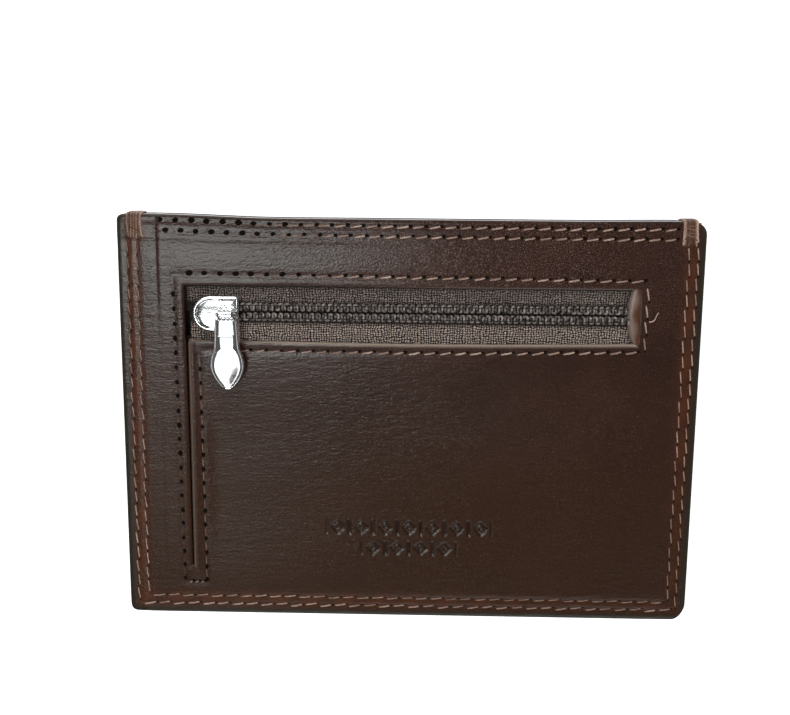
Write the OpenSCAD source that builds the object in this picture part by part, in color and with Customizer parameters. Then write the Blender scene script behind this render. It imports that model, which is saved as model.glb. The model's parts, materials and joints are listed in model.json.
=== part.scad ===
// Minimalist wallet with an L-shaped coin pocket opening: a zip across it and a gusseted slit down one side.
// It lies on its card pockets, zip side up. X runs along the zip, +Y points to the mouth, Z is up.
// Places on the leather are given as distances from the left edge ("from_left") and from the mouth ("from_mouth").

/* [Wallet] */
// Width, along the mouth
wallet_w = 115; // [112:0.5:120]
// Height, from the mouth to the bottom seam
wallet_h = 82; // [80:0.5:88]
// Corner radius on the slit's side
corner_r_left = 1.2; // [0.8:0.1:3]
// Corner radius on the other side
corner_r_right = 2.6; // [0.8:0.1:4]
// Width of the turned-in edges
hem_w = 5; // [4.2:0.1:5.2]
// How far the mouth's edges stay below the bar tacks that wrap over them
mouth_drop = 0.3; // [0.2:0.05:0.5]

/* [Layers] */
// Thickness of the front leather
front_t = 1.2; // [1:0.1:1.2]
// Thickness of the back leather
back_t = 1.0; // [0.8:0.1:1.4]
// Thickness of each card pocket's leather
pocket_t = 0.8; // [0.6:0.1:1.2]
// Thickness of each lining
lining_t = 0.2; // [0.15:0.05:0.3]
// Room for a card in each slot
card_gap = 0.9; // [0.8:0.1:1.2]
// Room in the note compartment
note_gap = 0.6; // [0.4:0.1:1.2]
// Depth of the empty coin pocket
coin_gap = 1.8; // [1.7:0.1:3]

/* [Card pockets] */
// Distance from the wallet's mouth to the inner card pocket's mouth
inner_mouth = 14; // [12:0.5:18]
// Distance from the wallet's mouth to the outer card pocket's mouth
outer_mouth = 26; // [22:0.5:30]
// Depth of the inner card slot, down to its cross seam
inner_slot_depth = 51; // [48:0.5:54]

/* [Opening] */
// Left edge of the zip window and of the slit
window_left = 12.6; // [12:0.1:13.5]
// Length of the zip window
window_l = 90.1; // [88:0.1:92]
// Distance from the mouth to the window
window_top = 13.7; // [13:0.1:15]
// Height of the window
window_h = 10.8; // [10:0.1:11.5]
// Width of the slit
slit_w = 0.8; // [0.6:0.1:1]
// Distance from the mouth to the slit's lower end
slit_end = 72.5; // [68:0.5:73]
// Running gap between the flap and the leather that it folds away from
crease_gap = 0.15; // [0.1:0.05:0.3]

/* [Zip] */
// Width of one side of the tape
tape_w = 11; // [10:0.5:12]
// Thickness of the tape
tape_t = 0.5; // [0.4:0.05:0.6]
// Width of one coil
coil_w = 1.8; // [1.6:0.1:1.9]
// Height of the coils above the tape
coil_h = 1.15; // [1:0.05:1.2]
// Pitch of the coil's turns
coil_pitch = 1.25; // [1:0.05:1.5]
// Reach of the leather tab over the zip's end
end_tab_reach = 2.3; // [1.8:0.1:2.8]

/* [Slider] */
// Length of the slider, along the zip
slider_l = 9.2; // [9:0.1:9.6]
// Width of the slider
slider_w = 7.1; // [6.8:0.1:7.4]
// Distance from the window's left edge to the closed slider's nose
slider_start = 1.8; // [1.5:0.1:2.2]
// Travel of the slider
slider_travel = 76.3; // [70:0.1:76.3]
// Thickness of the slider's plates
plate_t = 0.7; // [0.6:0.05:0.7]
// Height of the bridge's bar above the front leather
bar_rise = 2.6; // [2.5:0.1:3]
// Diameter of the bridge's bar
bar_d = 1.1; // [0.9:0.1:1.2]

/* [Pull tab] */
// Length from the bar to the tip
pull_l = 15.3; // [14:0.1:17]
// Width of the neck
pull_neck_w = 4.7; // [4:0.1:5]
// Greatest width
pull_w = 7.1; // [6.5:0.1:7.5]
// Thickness of the plate
pull_t = 0.9; // [0.8:0.05:1]
// Downward slope of the pull tab at rest, in degrees
pull_slope = 4; // [3:0.5:5]

/* [Stitching] */
// Pitch of the stitches
stitch_pitch = 3.05; // [2.8:0.05:3.4]
// Length of one stitch on the leather
stitch_l = 2.3; // [2:0.1:2.5]
// Diameter of the thread
thread_d = 0.45; // [0.35:0.05:0.5]
// Height of the stitches above the leather
thread_h = 0.2; // [0.15:0.05:0.25]

/* [Hidden] */
$fn = 48;
eps = 0.01;

// The layers, from the outer card pocket up to the front leather
z_outer_hem = pocket_t;
z_inner_pocket = z_outer_hem + card_gap;
z_inner_hem = z_inner_pocket + pocket_t;
z_back = z_inner_hem + card_gap;
z_back_lining = z_back + back_t;
z_note = z_back_lining + lining_t;
z_note_lining = z_note + note_gap;
z_coin_lining = z_note_lining + lining_t;
z_coin = z_coin_lining + lining_t;
z_front = z_coin + coin_gap;
z_top = z_front + front_t;

// The zip's line and ends
zip_from_mouth = window_top + window_h / 2;
zip_y = wallet_h / 2 - zip_from_mouth;
window_bottom = window_top + window_h;
window_right = window_left + window_l;
tape_left = 8;
tape_right = wallet_w - 7;
coil_mesh_gap = 0.1;
zip_end = window_right - end_tab_reach;
tape_edge = zip_from_mouth + tape_w;
z_tape = z_front - tape_t;

// The fold line runs from the slit's end to just left of where the opened slider stops
flap_left = window_left + slit_w;
crease_top = window_left + slider_start + slider_travel - 0.4;

// The slider
slide_gap = 0.15;
nose_left = window_left + slider_start;
tail = nose_left + slider_l;
nose_r = slider_w / 2;
flange_w = 0.8;
wedge_l = 1.9;
wedge_w = 1.2;
wedge_end = nose_left + 2.5;
wedge_clear = 0.3;
z_bottom_plate = z_tape - slide_gap - plate_t;
z_top_plate = z_front + coil_h + slide_gap;
rim_w = 0.5;
rim_h = 0.4;
coil_left = wedge_end + wedge_clear;

// The bridge and the pull tab's eye
bar_z = z_top + bar_rise;
leg_l = 0.6;
bar_l = 3.4;
bar_mid = tail - leg_l - bar_l / 2;
eye_l = 3.2;
eye_r = 1.2;
eye_clearance = 0.06;

// Thread rows, as distances from the nearest edge
side_row_outer = 1.6;
side_row_inner = 3.7;
bottom_row_outer = 1.4;
bottom_row_inner = 3.1;
mouth_row_outer = 1.7;
mouth_row_inner = 3.7;
frame_row_top = 11.6;
frame_row_bottom = window_bottom + 2.2;
frame_column_left = 10.3;
frame_column_right = 104.3;
slit_column = 15.6;
slit_row = 75.8;
tack_l = 4.3;
tack_w = 2.9;
tack_inset = 1.6;
stitch_slant = 10;

leather = "#3a2a22";
light_leather = "#a08574";
lining = "#2c2622";
tape = "#5a5047";
coil = "#2b2926";
metal = "#d8dade";
thread = "#a8745a";

function from_left(d) = d - wallet_w / 2;
function from_mouth(d) = wallet_h / 2 - d;
// Distance from the left edge of the fold line, at a distance d from the mouth
function crease(d) = flap_left + (slit_end - d) / (slit_end - zip_from_mouth) * (crease_top - flap_left);

// The wallet's outline, inset all round
module outline(inset = 0) {
    r_left = max(corner_r_left - inset, 0.4);
    r_right = max(corner_r_right - inset, 0.4);
    left = from_left(inset);
    right = from_left(wallet_w - inset);
    low = from_mouth(wallet_h - inset);
    high = from_mouth(mouth_drop + inset);
    for (y = [low + r_left, high - r_left]) translate([left + r_left, y]) circle(r_left);
    for (y = [low + r_right, high - r_right]) translate([right - r_right, y]) circle(r_right);
    translate([left + r_left, low]) square([right - r_right - left - r_left, high - low]);
    translate([left, low + r_left]) square([r_left, high - low - 2 * r_left]);
    translate([right - r_right, low + r_right]) square([r_right, high - low - 2 * r_right]);
}

// A rectangle between two distances from the left edge and two from the mouth
module patch(left, right, top, bottom) {
    translate([from_left(left), from_mouth(bottom)]) square([right - left, bottom - top]);
}

module layer(z, t) {
    translate([0, 0, z]) linear_extrude(t) children();
}

// Everything on the flap's side of the fold line, moved away from it by a gap
module flap_side(gap = 0) {
    shift = gap / sin(atan2(slit_end - zip_from_mouth, crease_top - flap_left));
    polygon([
        [from_left(flap_left - shift), from_mouth(slit_end)],
        [from_left(crease(0) - shift), from_mouth(0)],
        [from_left(0), from_mouth(0)],
        [from_left(0), from_mouth(slit_end)]
    ]);
}

// The turned-in edges of one layer, from a distance below the mouth
module turned_edges(z, t, top) {
    layer(z, t) intersection() {
        outline();
        patch(0, hem_w, top, wallet_h);
    }
    layer(z, t) intersection() {
        outline();
        patch(wallet_w - hem_w, wallet_w, top, wallet_h);
    }
    layer(z, t) patch(hem_w, wallet_w - hem_w, wallet_h - hem_w, wallet_h);
}

// One stitch, lying on the front leather
module stitch(left, top, angle) {
    translate([from_left(left), from_mouth(top), z_top])
        rotate([0, 0, angle + stitch_slant])
            translate([-stitch_l / 2, -thread_d / 2, 0])
                cube([stitch_l, thread_d, thread_h]);
}

// A row of stitches along the zip's direction. side is 0 for a whole row, or 1 or -1 for the
// stitches on the flap's side or on the fixed side of the fold line.
module stitch_row(left, right, top, side = 0) {
    n = round((right - left) / stitch_pitch);
    for (i = [0:n - 1]) {
        x = left + (i + 0.5) * (right - left) / n;
        if (side == 0 || side * (crease(top) - x) > stitch_l) stitch(x, top, 0);
    }
}

// A column of stitches towards the bottom seam
module stitch_column(left, top, bottom) {
    n = round((bottom - top) / stitch_pitch);
    for (i = [0:n - 1]) stitch(left, top + (i + 0.5) * (bottom - top) / n, 90);
}

// Front leather, with the window, the slit and the flap cut out
module front_panel() {
    color(leather) layer(z_front, front_t) difference() {
        outline();
        patch(window_left, window_right, window_top, window_bottom);
        patch(window_left, flap_left, window_top, slit_end);
        translate([from_left(window_left + slit_w / 2), from_mouth(slit_end)]) circle(slit_w / 2);
        intersection() {
            flap_side();
            patch(window_left, window_right, window_top, slit_end);
        }
    }
}

// The corner of the front leather between the window and the slit
module coin_flap() {
    color(leather) layer(z_front, front_t) intersection() {
        flap_side(crease_gap);
        patch(flap_left, window_right, window_bottom, slit_end);
    }
}

// The front leather's edges, turned in round all four sides of the coin pocket
module front_hem() {
    color(leather) {
        turned_edges(z_coin, coin_gap, 0);
        layer(z_coin, coin_gap) patch(hem_w, wallet_w - hem_w, mouth_drop, hem_w);
    }
}

// Upper half of the zip tape, spread round the slider's wedge at its closed end
module upper_tape() {
    color(tape) layer(z_tape, tape_t) difference() {
        patch(tape_left, tape_right, zip_from_mouth - tape_w, zip_from_mouth - coil_mesh_gap);
        patch(tape_left, coil_left, zip_from_mouth - wedge_w / 2 - wedge_clear, zip_from_mouth);
    }
}

// Lower half of the zip tape, on the flap
module lower_tape() {
    color(tape) layer(z_tape, tape_t) difference() {
        intersection() {
            flap_side(crease_gap);
            patch(flap_left + eps, tape_right, zip_from_mouth + coil_mesh_gap, tape_edge);
        }
        patch(flap_left, coil_left, zip_from_mouth, zip_from_mouth + wedge_w / 2 + wedge_clear);
    }
}

// Lower half of the zip tape, past the fold line
module lower_tape_end() {
    color(tape) layer(z_tape, tape_t) difference() {
        patch(flap_left, tape_right, zip_from_mouth + coil_mesh_gap, tape_edge);
        flap_side();
    }
}

// A comb of teeth between two distances from the left edge; way is 1 above the zip's line and -1 below it
module coil_comb(left, right, way) {
    spine = 0.7;
    tooth = 0.55;
    n = floor((right - left - tooth) / coil_pitch);
    translate([0, zip_y, z_front]) linear_extrude(coil_h) {
        for (i = [0:n])
            translate([from_left(left + i * coil_pitch), way > 0 ? coil_mesh_gap : -coil_w])
                square([tooth, coil_w - coil_mesh_gap]);
        translate([from_left(left), way > 0 ? coil_w - spine : -coil_w]) square([right - left, spine]);
    }
}

module upper_coil() {
    color(coil) coil_comb(coil_left, zip_end - eps, 1);
}

// The lower coil stops short of the fold line, which crosses it at a slant
module lower_coil() {
    color(coil) coil_comb(coil_left + coil_pitch / 2, crease(zip_from_mouth + coil_w) - 0.3, -1);
}

module lower_coil_end() {
    color(coil) coil_comb(crease_top + 0.3, zip_end - eps, -1);
}

// The slider's outline: a round nose and a square tail
module slider_outline(inset = 0) {
    translate([from_left(nose_left + nose_r), zip_y]) circle(nose_r - inset);
    translate([from_left(nose_left + nose_r), zip_y - nose_r + inset])
        square([slider_l - nose_r, slider_w - 2 * inset]);
}

// Slider body: two plates joined by the wedge, flanges over the tape and a rim round the top
module zip_slider() {
    color(metal) {
        layer(z_bottom_plate, plate_t) slider_outline();
        layer(z_top_plate, plate_t) slider_outline();
        layer(z_top_plate + plate_t, rim_h) difference() {
            slider_outline();
            slider_outline(rim_w);
        }
        for (y = [zip_y - nose_r, zip_y + nose_r - flange_w])
            layer(z_front + slide_gap, coil_h)
                translate([from_left(nose_left + nose_r), y]) square([slider_l - nose_r, flange_w]);
        layer(z_bottom_plate, z_top_plate - z_bottom_plate + plate_t) polygon([
            [from_left(wedge_end - wedge_l), zip_y],
            [from_left(wedge_end - wedge_l / 2), zip_y + wedge_w / 2],
            [from_left(wedge_end), zip_y],
            [from_left(wedge_end - wedge_l / 2), zip_y - wedge_w / 2]
        ]);
    }
}

// Bridge on the slider: a round bar along the zip between two legs
module slider_bridge() {
    color(metal) {
        for (x = [bar_mid - bar_l / 2 - leg_l, bar_mid + bar_l / 2])
            translate([from_left(x), zip_y - bar_d / 2, z_top_plate + plate_t])
                cube([leg_l, bar_d, bar_z - z_top_plate - plate_t]);
        translate([from_left(bar_mid - bar_l / 2 - leg_l), zip_y, bar_z])
            rotate([0, 90, 0])
                cylinder(h = bar_l + 2 * leg_l, d = bar_d);
    }
}

// Outline of the pull tab, hanging down from the bar at the origin
module pull_outline() {
    drop_y = -0.68 * pull_l;
    tip_r = 0.9;
    polygon([
        [-eye_l / 2, 0], [-eye_l / 2, -3.3], [-pull_neck_w / 2, -3.9], [-pull_neck_w / 2 - 0.4, -7.5],
        [-pull_w / 2 + 0.04, drop_y + 0.5], [pull_w / 2 - 0.04, drop_y + 0.5],
        [pull_neck_w / 2 + 0.4, -7.5], [pull_neck_w / 2, -3.9], [eye_l / 2, -3.3], [eye_l / 2, 0]
    ]);
    translate([0, drop_y]) circle(pull_w / 2);
    polygon([
        [-pull_w / 2 + 0.55, drop_y - 1.9], [-tip_r + 0.2, -pull_l + 0.35],
        [tip_r - 0.2, -pull_l + 0.35], [pull_w / 2 - 0.55, drop_y - 1.9]
    ]);
    translate([0, -pull_l + tip_r]) circle(tip_r);
}

// Pull tab: a drop-shaped plate with a panel sunk in its neck and an eye rolled round the bar
module pull_tab() {
    plate_low = -0.15;
    sunk = 0.3;
    color(metal) translate([from_left(bar_mid), zip_y, bar_z]) rotate([pull_slope, 0, 0]) difference() {
        union() {
            translate([0, 0, plate_low]) linear_extrude(pull_t) pull_outline();
            rotate([0, 90, 0]) cylinder(h = eye_l, r = eye_r, center = true);
        }
        translate([-1.45, -7.2, plate_low + pull_t - sunk]) cube([2.9, 3, 1]);
        rotate([0, 90, 0]) cylinder(h = eye_l + 1, r = bar_d / 2 + eye_clearance, center = true);
    }
}

// Leather tab over the zip's end: a segment of a disc against the window's right edge
module zip_end_tab() {
    tab_t = 0.9;
    r = (pow(window_h / 2, 2) + pow(end_tab_reach, 2)) / (2 * end_tab_reach);
    color(light_leather) layer(z_front, tab_t) intersection() {
        translate([from_left(zip_end + r), zip_y]) circle(r, $fn = 96);
        patch(zip_end, window_right, window_top, window_bottom);
    }
}

// Gusset behind the slit: a strip folded once, under the leather to the slit's left
module coin_gusset() {
    ply = 0.35;
    fold_left = 7.2;
    upper_end = window_left - 0.2;
    lower_end = 16;
    z_upper = z_front - ply - 0.05;
    z_lower = z_tape - ply - 0.05;
    color(leather) {
        layer(z_upper, ply) patch(fold_left, upper_end, window_bottom, slit_end);
        layer(z_lower, z_upper + ply - z_lower) patch(fold_left, fold_left + ply, window_bottom, slit_end);
        layer(z_lower, ply) patch(fold_left, lower_end, window_bottom, slit_end);
    }
}

// Lining behind the fixed part of the front leather
module front_lining() {
    color(lining) layer(z_front - lining_t, lining_t) difference() {
        patch(flap_left, wallet_w - hem_w, tape_edge, wallet_h - hem_w);
        flap_side();
    }
}

// Lining behind the flap
module flap_lining() {
    color(lining) layer(z_front - lining_t, lining_t) intersection() {
        flap_side(crease_gap);
        patch(flap_left + eps, window_right, tape_edge, slit_end);
    }
}

// Back wall of the coin pocket
module coin_back_lining() {
    color(lining) layer(z_coin_lining, lining_t) outline(0.3);
}

// Front wall of the note compartment
module note_front_lining() {
    color(lining) layer(z_note_lining, lining_t) outline(0.3);
}

// Back wall of the note compartment
module note_back_lining() {
    color(lining) layer(z_back_lining, lining_t) outline(0.3);
}

// The back leather's edges, turned in round the sides and bottom of the note compartment
module back_hem() {
    color(leather) turned_edges(z_note, note_gap, 0);
}

module back_panel() {
    color(leather) layer(z_back, back_t) outline();
}

// The inner card pocket's turned edges, and the cross seam that a card stands on
module inner_pocket_hem() {
    seam_w = 2;
    seam_top = inner_mouth + inner_slot_depth;
    color(leather) {
        turned_edges(z_inner_hem, card_gap, inner_mouth);
        layer(z_inner_hem, card_gap) patch(hem_w, wallet_w - hem_w, seam_top, seam_top + seam_w);
    }
}

module card_pocket_inner() {
    color(leather) layer(z_inner_pocket, pocket_t) intersection() {
        outline();
        patch(0, wallet_w, inner_mouth, wallet_h);
    }
}

module outer_pocket_hem() {
    color(leather) turned_edges(z_outer_hem, card_gap, outer_mouth);
}

module card_pocket_outer() {
    color(leather) layer(0, pocket_t) intersection() {
        outline();
        patch(0, wallet_w, outer_mouth, wallet_h);
    }
}

// A thread row round the sides and the bottom
module perimeter_row(side, bottom) {
    start = tack_l + 0.4;
    end = wallet_h - bottom - 0.8;
    stitch_column(side, start, end);
    stitch_column(wallet_w - side, start, end);
    stitch_row(side + 0.8, wallet_w - side - 0.8, wallet_h - bottom);
}

module outer_thread() {
    color(thread) perimeter_row(side_row_outer, bottom_row_outer);
}

module inner_thread() {
    color(thread) perimeter_row(side_row_inner, bottom_row_inner);
}

// Two rows of thread along the mouth
module mouth_thread() {
    color(thread)
        for (row = [mouth_row_outer, mouth_row_inner])
            stitch_row(hem_w + 0.4, wallet_w - hem_w - 0.4, row);
}

// The thread row round the opening, on the fixed leather
module zip_thread() {
    color(thread) {
        stitch_row(frame_column_left, frame_column_right, frame_row_top);
        stitch_column(frame_column_left, frame_row_top + 0.8, slit_row - 0.4);
        stitch_column(frame_column_right, frame_row_top + 0.8, frame_row_bottom - 0.8);
        stitch_row(flap_left, frame_column_right, frame_row_bottom, -1);
        stitch_row(frame_column_left + 0.6, slit_column, slit_row);
        stitch_column(slit_column, slit_end - 0.4, slit_row - 0.6);
    }
}

// The thread row round the opening, on the flap
module flap_thread() {
    color(thread) {
        stitch_row(slit_column + 1.5, frame_column_right, frame_row_bottom, 1);
        stitch_column(slit_column, frame_row_bottom + 0.8, slit_end - 4.5);
    }
}

// Dense stitches over one corner of the mouth, from the front leather round to the back leather
module bar_tack(left) {
    color(thread) {
        layer(z_top, thread_h) patch(left, left + tack_w, 0, tack_l);
        layer(z_back - thread_h, z_top - z_back + 2 * thread_h) patch(left, left + tack_w, 0, mouth_drop);
        layer(z_back - thread_h, thread_h) patch(left, left + tack_w, 0, tack_l);
    }
}

module bar_tack_left() {
    bar_tack(tack_inset);
}

module bar_tack_right() {
    bar_tack(wallet_w - tack_inset - tack_w);
}

front_panel();
coin_flap();
front_hem();
upper_tape();
lower_tape();
lower_tape_end();
upper_coil();
lower_coil();
lower_coil_end();
zip_slider();
slider_bridge();
pull_tab();
zip_end_tab();
coin_gusset();
front_lining();
flap_lining();
coin_back_lining();
note_front_lining();
note_back_lining();
back_hem();
back_panel();
inner_pocket_hem();
card_pocket_inner();
outer_pocket_hem();
card_pocket_outer();
outer_thread();
inner_thread();
mouth_thread();
zip_thread();
flap_thread();
bar_tack_left();
bar_tack_right();
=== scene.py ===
"""A minimalist wallet: stitched leather, linings, a coil zip with its slider, and card pockets."""
import json
import math
import random

import bmesh
import bpy
import numpy as np
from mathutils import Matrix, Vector


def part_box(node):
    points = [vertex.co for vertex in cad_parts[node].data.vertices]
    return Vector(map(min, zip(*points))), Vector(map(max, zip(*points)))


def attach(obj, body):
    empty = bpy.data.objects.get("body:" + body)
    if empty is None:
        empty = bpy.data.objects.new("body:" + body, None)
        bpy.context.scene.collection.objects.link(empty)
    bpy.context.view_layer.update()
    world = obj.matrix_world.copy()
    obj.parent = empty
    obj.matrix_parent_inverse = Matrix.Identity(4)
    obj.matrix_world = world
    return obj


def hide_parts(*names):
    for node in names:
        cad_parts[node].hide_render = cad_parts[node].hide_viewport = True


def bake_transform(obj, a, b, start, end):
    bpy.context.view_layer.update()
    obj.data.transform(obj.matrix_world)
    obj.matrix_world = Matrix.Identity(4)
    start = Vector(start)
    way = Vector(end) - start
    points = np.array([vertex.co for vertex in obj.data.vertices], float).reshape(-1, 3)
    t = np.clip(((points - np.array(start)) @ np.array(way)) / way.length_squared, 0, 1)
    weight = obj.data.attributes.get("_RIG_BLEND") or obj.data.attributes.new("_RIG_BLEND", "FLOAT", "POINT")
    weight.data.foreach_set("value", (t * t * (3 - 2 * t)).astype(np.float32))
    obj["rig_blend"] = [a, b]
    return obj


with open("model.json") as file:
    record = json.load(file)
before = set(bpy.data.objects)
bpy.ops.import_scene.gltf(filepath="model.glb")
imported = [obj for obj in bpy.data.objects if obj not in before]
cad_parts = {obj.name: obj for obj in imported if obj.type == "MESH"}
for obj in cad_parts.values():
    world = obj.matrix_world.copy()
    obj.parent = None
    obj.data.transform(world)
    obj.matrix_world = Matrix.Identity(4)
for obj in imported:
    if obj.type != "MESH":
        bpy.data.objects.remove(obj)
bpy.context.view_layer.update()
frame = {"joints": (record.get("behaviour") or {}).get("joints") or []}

MM = 0.001
rng = random.Random(7)


def link(name, data):
    """A new object in the scene."""
    obj = bpy.data.objects.new(name, data)
    bpy.context.scene.collection.objects.link(obj)
    return obj


# --- Camera ---

camera_data = bpy.data.cameras.new("camera")
camera_data.lens = 52.26
camera_data.clip_start = 0.01
camera = link("camera", camera_data)
camera.location = (0.00187, 0.05789, 0.23320)
camera.rotation_euler = [math.radians(a) for a in (-11.212, 1.315, 0.469)]
bpy.context.scene.camera = camera

# --- Places, from the frame ---
# Soft pieces are drawn in plan coordinates, in mm: u from the left edge, v down from the mouth,
# and the height z.


def cad(node):
    """Lowest and highest corners of a CAD node, in mm."""
    low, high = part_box(node)
    return np.array(low) / MM, np.array(high) / MM


front_low, front_high = cad("front_panel")
LEFT = front_low[0]
MOUTH = cad("bar_tack_left")[1][1]
WIDTH = front_high[0] - LEFT
HEIGHT = MOUTH - front_low[1]
MOUTH_EDGE = MOUTH - front_high[1]
Z_FRONT, Z_TOP = front_low[2], front_high[2]
Z_COIN = cad("front_hem")[0][2]
HEM = 5.0  # width of a turned-in edge


def plan_box(node):
    """A CAD node in plan coordinates: its left, right, near, far, low and high ends. Near is the
    end beside the mouth."""
    low, high = cad(node)
    return low[0] - LEFT, high[0] - LEFT, MOUTH - high[1], MOUTH - low[1], low[2], high[2]


SLIT_W = 0.8
FLAP_LEFT = plan_box("coin_flap")[0]
ZIP_END, WINDOW_RIGHT, WINDOW_TOP, WINDOW_BOTTOM = plan_box("zip_end_tab")[:4]
WINDOW_LEFT = FLAP_LEFT - SLIT_W
SLIT_END = plan_box("coin_gusset")[3]
ZIP_V = (WINDOW_TOP + WINDOW_BOTTOM) / 2


def joint(name):
    return next(j for j in frame["joints"] if j["name"] == name)


def plan_of(point):
    """A point of the frame, in metres, in plan coordinates."""
    return np.array([point[0] / MM - LEFT, MOUTH - point[1] / MM, point[2] / MM])


fold_joint = joint("coin_flap_fold")
crease_point = plan_of(fold_joint["pos_m"])
crease_way = np.array([fold_joint["axis"][0], -fold_joint["axis"][1]])
bar_point = plan_of(joint("pull_swing")["pos_m"])


def smooth(x):
    """0 below 0, 1 above 1, and a soft step between."""
    x = np.clip(x, 0, 1)
    return x * x * (3 - 2 * x)


def bell(distance, width):
    """1 at no distance, falling off softly over the width."""
    return np.exp(-((distance / width) ** 2))


def within(x, low, high):
    return (x > low) & (x < high)


def always(value):
    """A function of the place that is the same everywhere."""
    return lambda u, v: value


def level(z):
    """A flat face's height, as a function of the place."""
    return lambda u, v: np.full_like(u, z)


PRESS_LEFT, PRESS_RIGHT, PRESS_LOW = 0.5, 0.25, 0.75  # how far the edges are pressed outwards
SIDE_MARGIN, LOW_MARGIN = 1.6, 1.8  # width of the strips outside the seams
DRAW_LEFT, DRAW_RIGHT = 0.65, 0.2  # how far the bar tacks draw up the mouth's corners


def settled(plan):
    """Plan points with the margins outside the seams pressed out flat, and the mouth's corners
    drawn up a little, as the bar tacks hold them."""
    out = np.array(plan, float)
    u, v = out[:, 0], out[:, 1]
    lift = DRAW_LEFT * (1 - smooth((u - 6) / 26)) + DRAW_RIGHT * smooth((u - 90) / 20)
    out[:, 0] = (u - PRESS_LEFT * (1 - smooth(u / SIDE_MARGIN))
                 + PRESS_RIGHT * smooth((u - WIDTH + SIDE_MARGIN) / SIDE_MARGIN))
    out[:, 1] = (v - lift * (1 - smooth(v / 12))
                 + PRESS_LOW * smooth((v - HEIGHT + LOW_MARGIN) / LOW_MARGIN))
    return out


def in_frame(plan):
    """Plan points as points of the frame, in metres."""
    plan = np.asarray(plan, float)
    return np.column_stack([LEFT + plan[:, 0], MOUTH - plan[:, 1], plan[:, 2]]) * MM


# --- Thread rows: (u, v) of each row's start and end ---

MOUTH_ROWS = [((5.2, 1.5), (109.6, 2.0)), ((6.2, 3.5), (109.6, 3.9))]
FRAME_TOP = ((10.6, 11.4), (103.6, 12.0))
FRAME_LEFT = ((10.3, 12.4), (11.2, 75.2))
FRAME_RIGHT = ((104.3, 12.7), (104.0, 26.0))
FRAME_BOTTOM = ((16.6, 26.6), (103.0, 26.2))
FRAME_FOOT = ((11.6, 75.9), (15.4, 75.9))
SLIT_COLUMN = ((15.3, 27.6), (15.8, 75.4))
SIDE_ROWS = [((1.5, 5.0), (1.5, 80.2)), ((3.4, 5.0), (3.5, 78.6))]
FAR_SIDE_ROWS = [((113.7, 5.0), (113.1, 80.2)), ((111.9, 5.0), (111.3, 78.6))]
BOTTOM_ROWS = [((2.2, 80.6), (112.6, 80.5)), ((4.2, 78.9), (110.8, 78.8))]
EDGE_ROWS = [*SIDE_ROWS, *FAR_SIDE_ROWS, *BOTTOM_ROWS]
FRONT_ROWS = [*MOUTH_ROWS, FRAME_TOP, FRAME_LEFT, FRAME_RIGHT, FRAME_BOTTOM, FRAME_FOOT,
              SLIT_COLUMN, *EDGE_ROWS]


def bow(u, v):
    """How far the window's lower edge sags towards the bottom seam."""
    along = np.sin(np.pi * np.clip((u - FLAP_LEFT) / (WINDOW_RIGHT - FLAP_LEFT), 0, 1))
    below = np.where(v > ZIP_V, 1 - smooth((v - WINDOW_BOTTOM) / 10), 0)
    return 0.5 * along * below


def distance_to_row(u, v, row):
    """Distance from plan points to one thread row."""
    (u0, v0), (u1, v1) = row
    run = np.array([u1 - u0, v1 - v0])
    t = np.clip(((u - u0) * run[0] + (v - v0) * run[1]) / (run @ run), 0, 1)
    return np.hypot(u - u0 - t * run[0], v - v0 - t * run[1])


# --- Ornament: two rows of lozenges, bars and dots pressed into the leather ---

ORNAMENT_U = 57.7
ORNAMENT_PITCH = 4.9
ORNAMENT_ROWS = [(63.4, 1.75, 7), (67.8, 1.55, 4)]  # v of the row's middle, half height, lozenges


def ornament(u, v):
    """Depth of the pressed ornament, 0 to 1."""
    depth = np.zeros_like(u)
    across = u - ORNAMENT_U
    for middle, half, count in ORNAMENT_ROWS:
        offset = (count % 2 == 0) / 2
        cell = np.round(across / ORNAMENT_PITCH - offset) + offset
        inside = np.abs(across) < ORNAMENT_PITCH * count / 2
        a = np.abs(across - cell * ORNAMENT_PITCH)
        b = np.abs(v - middle)
        lozenge = np.abs(a / 1.6 + b / half - 0.78) * half
        line = 1 - smooth((lozenge - 0.16) / 0.22)
        bar = 1 - smooth((np.abs(a - ORNAMENT_PITCH / 2) - 0.2) / 0.2)
        bar = bar * (1 - smooth((b - half * 0.85) / 0.25))
        dot = 1 - smooth((np.hypot(a, b) - 0.28) / 0.2)
        depth = np.maximum(depth, np.where(inside, np.maximum(np.maximum(line, bar), dot), 0))
    return depth


# --- Height of the front leather ---

SEAM_PRESS = 0.09  # depth of the groove that a thread row presses
HOLLOW = 0.46  # how deep the flap's leather sags between its seams
ORNAMENT_PRESS = 0.24


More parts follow.
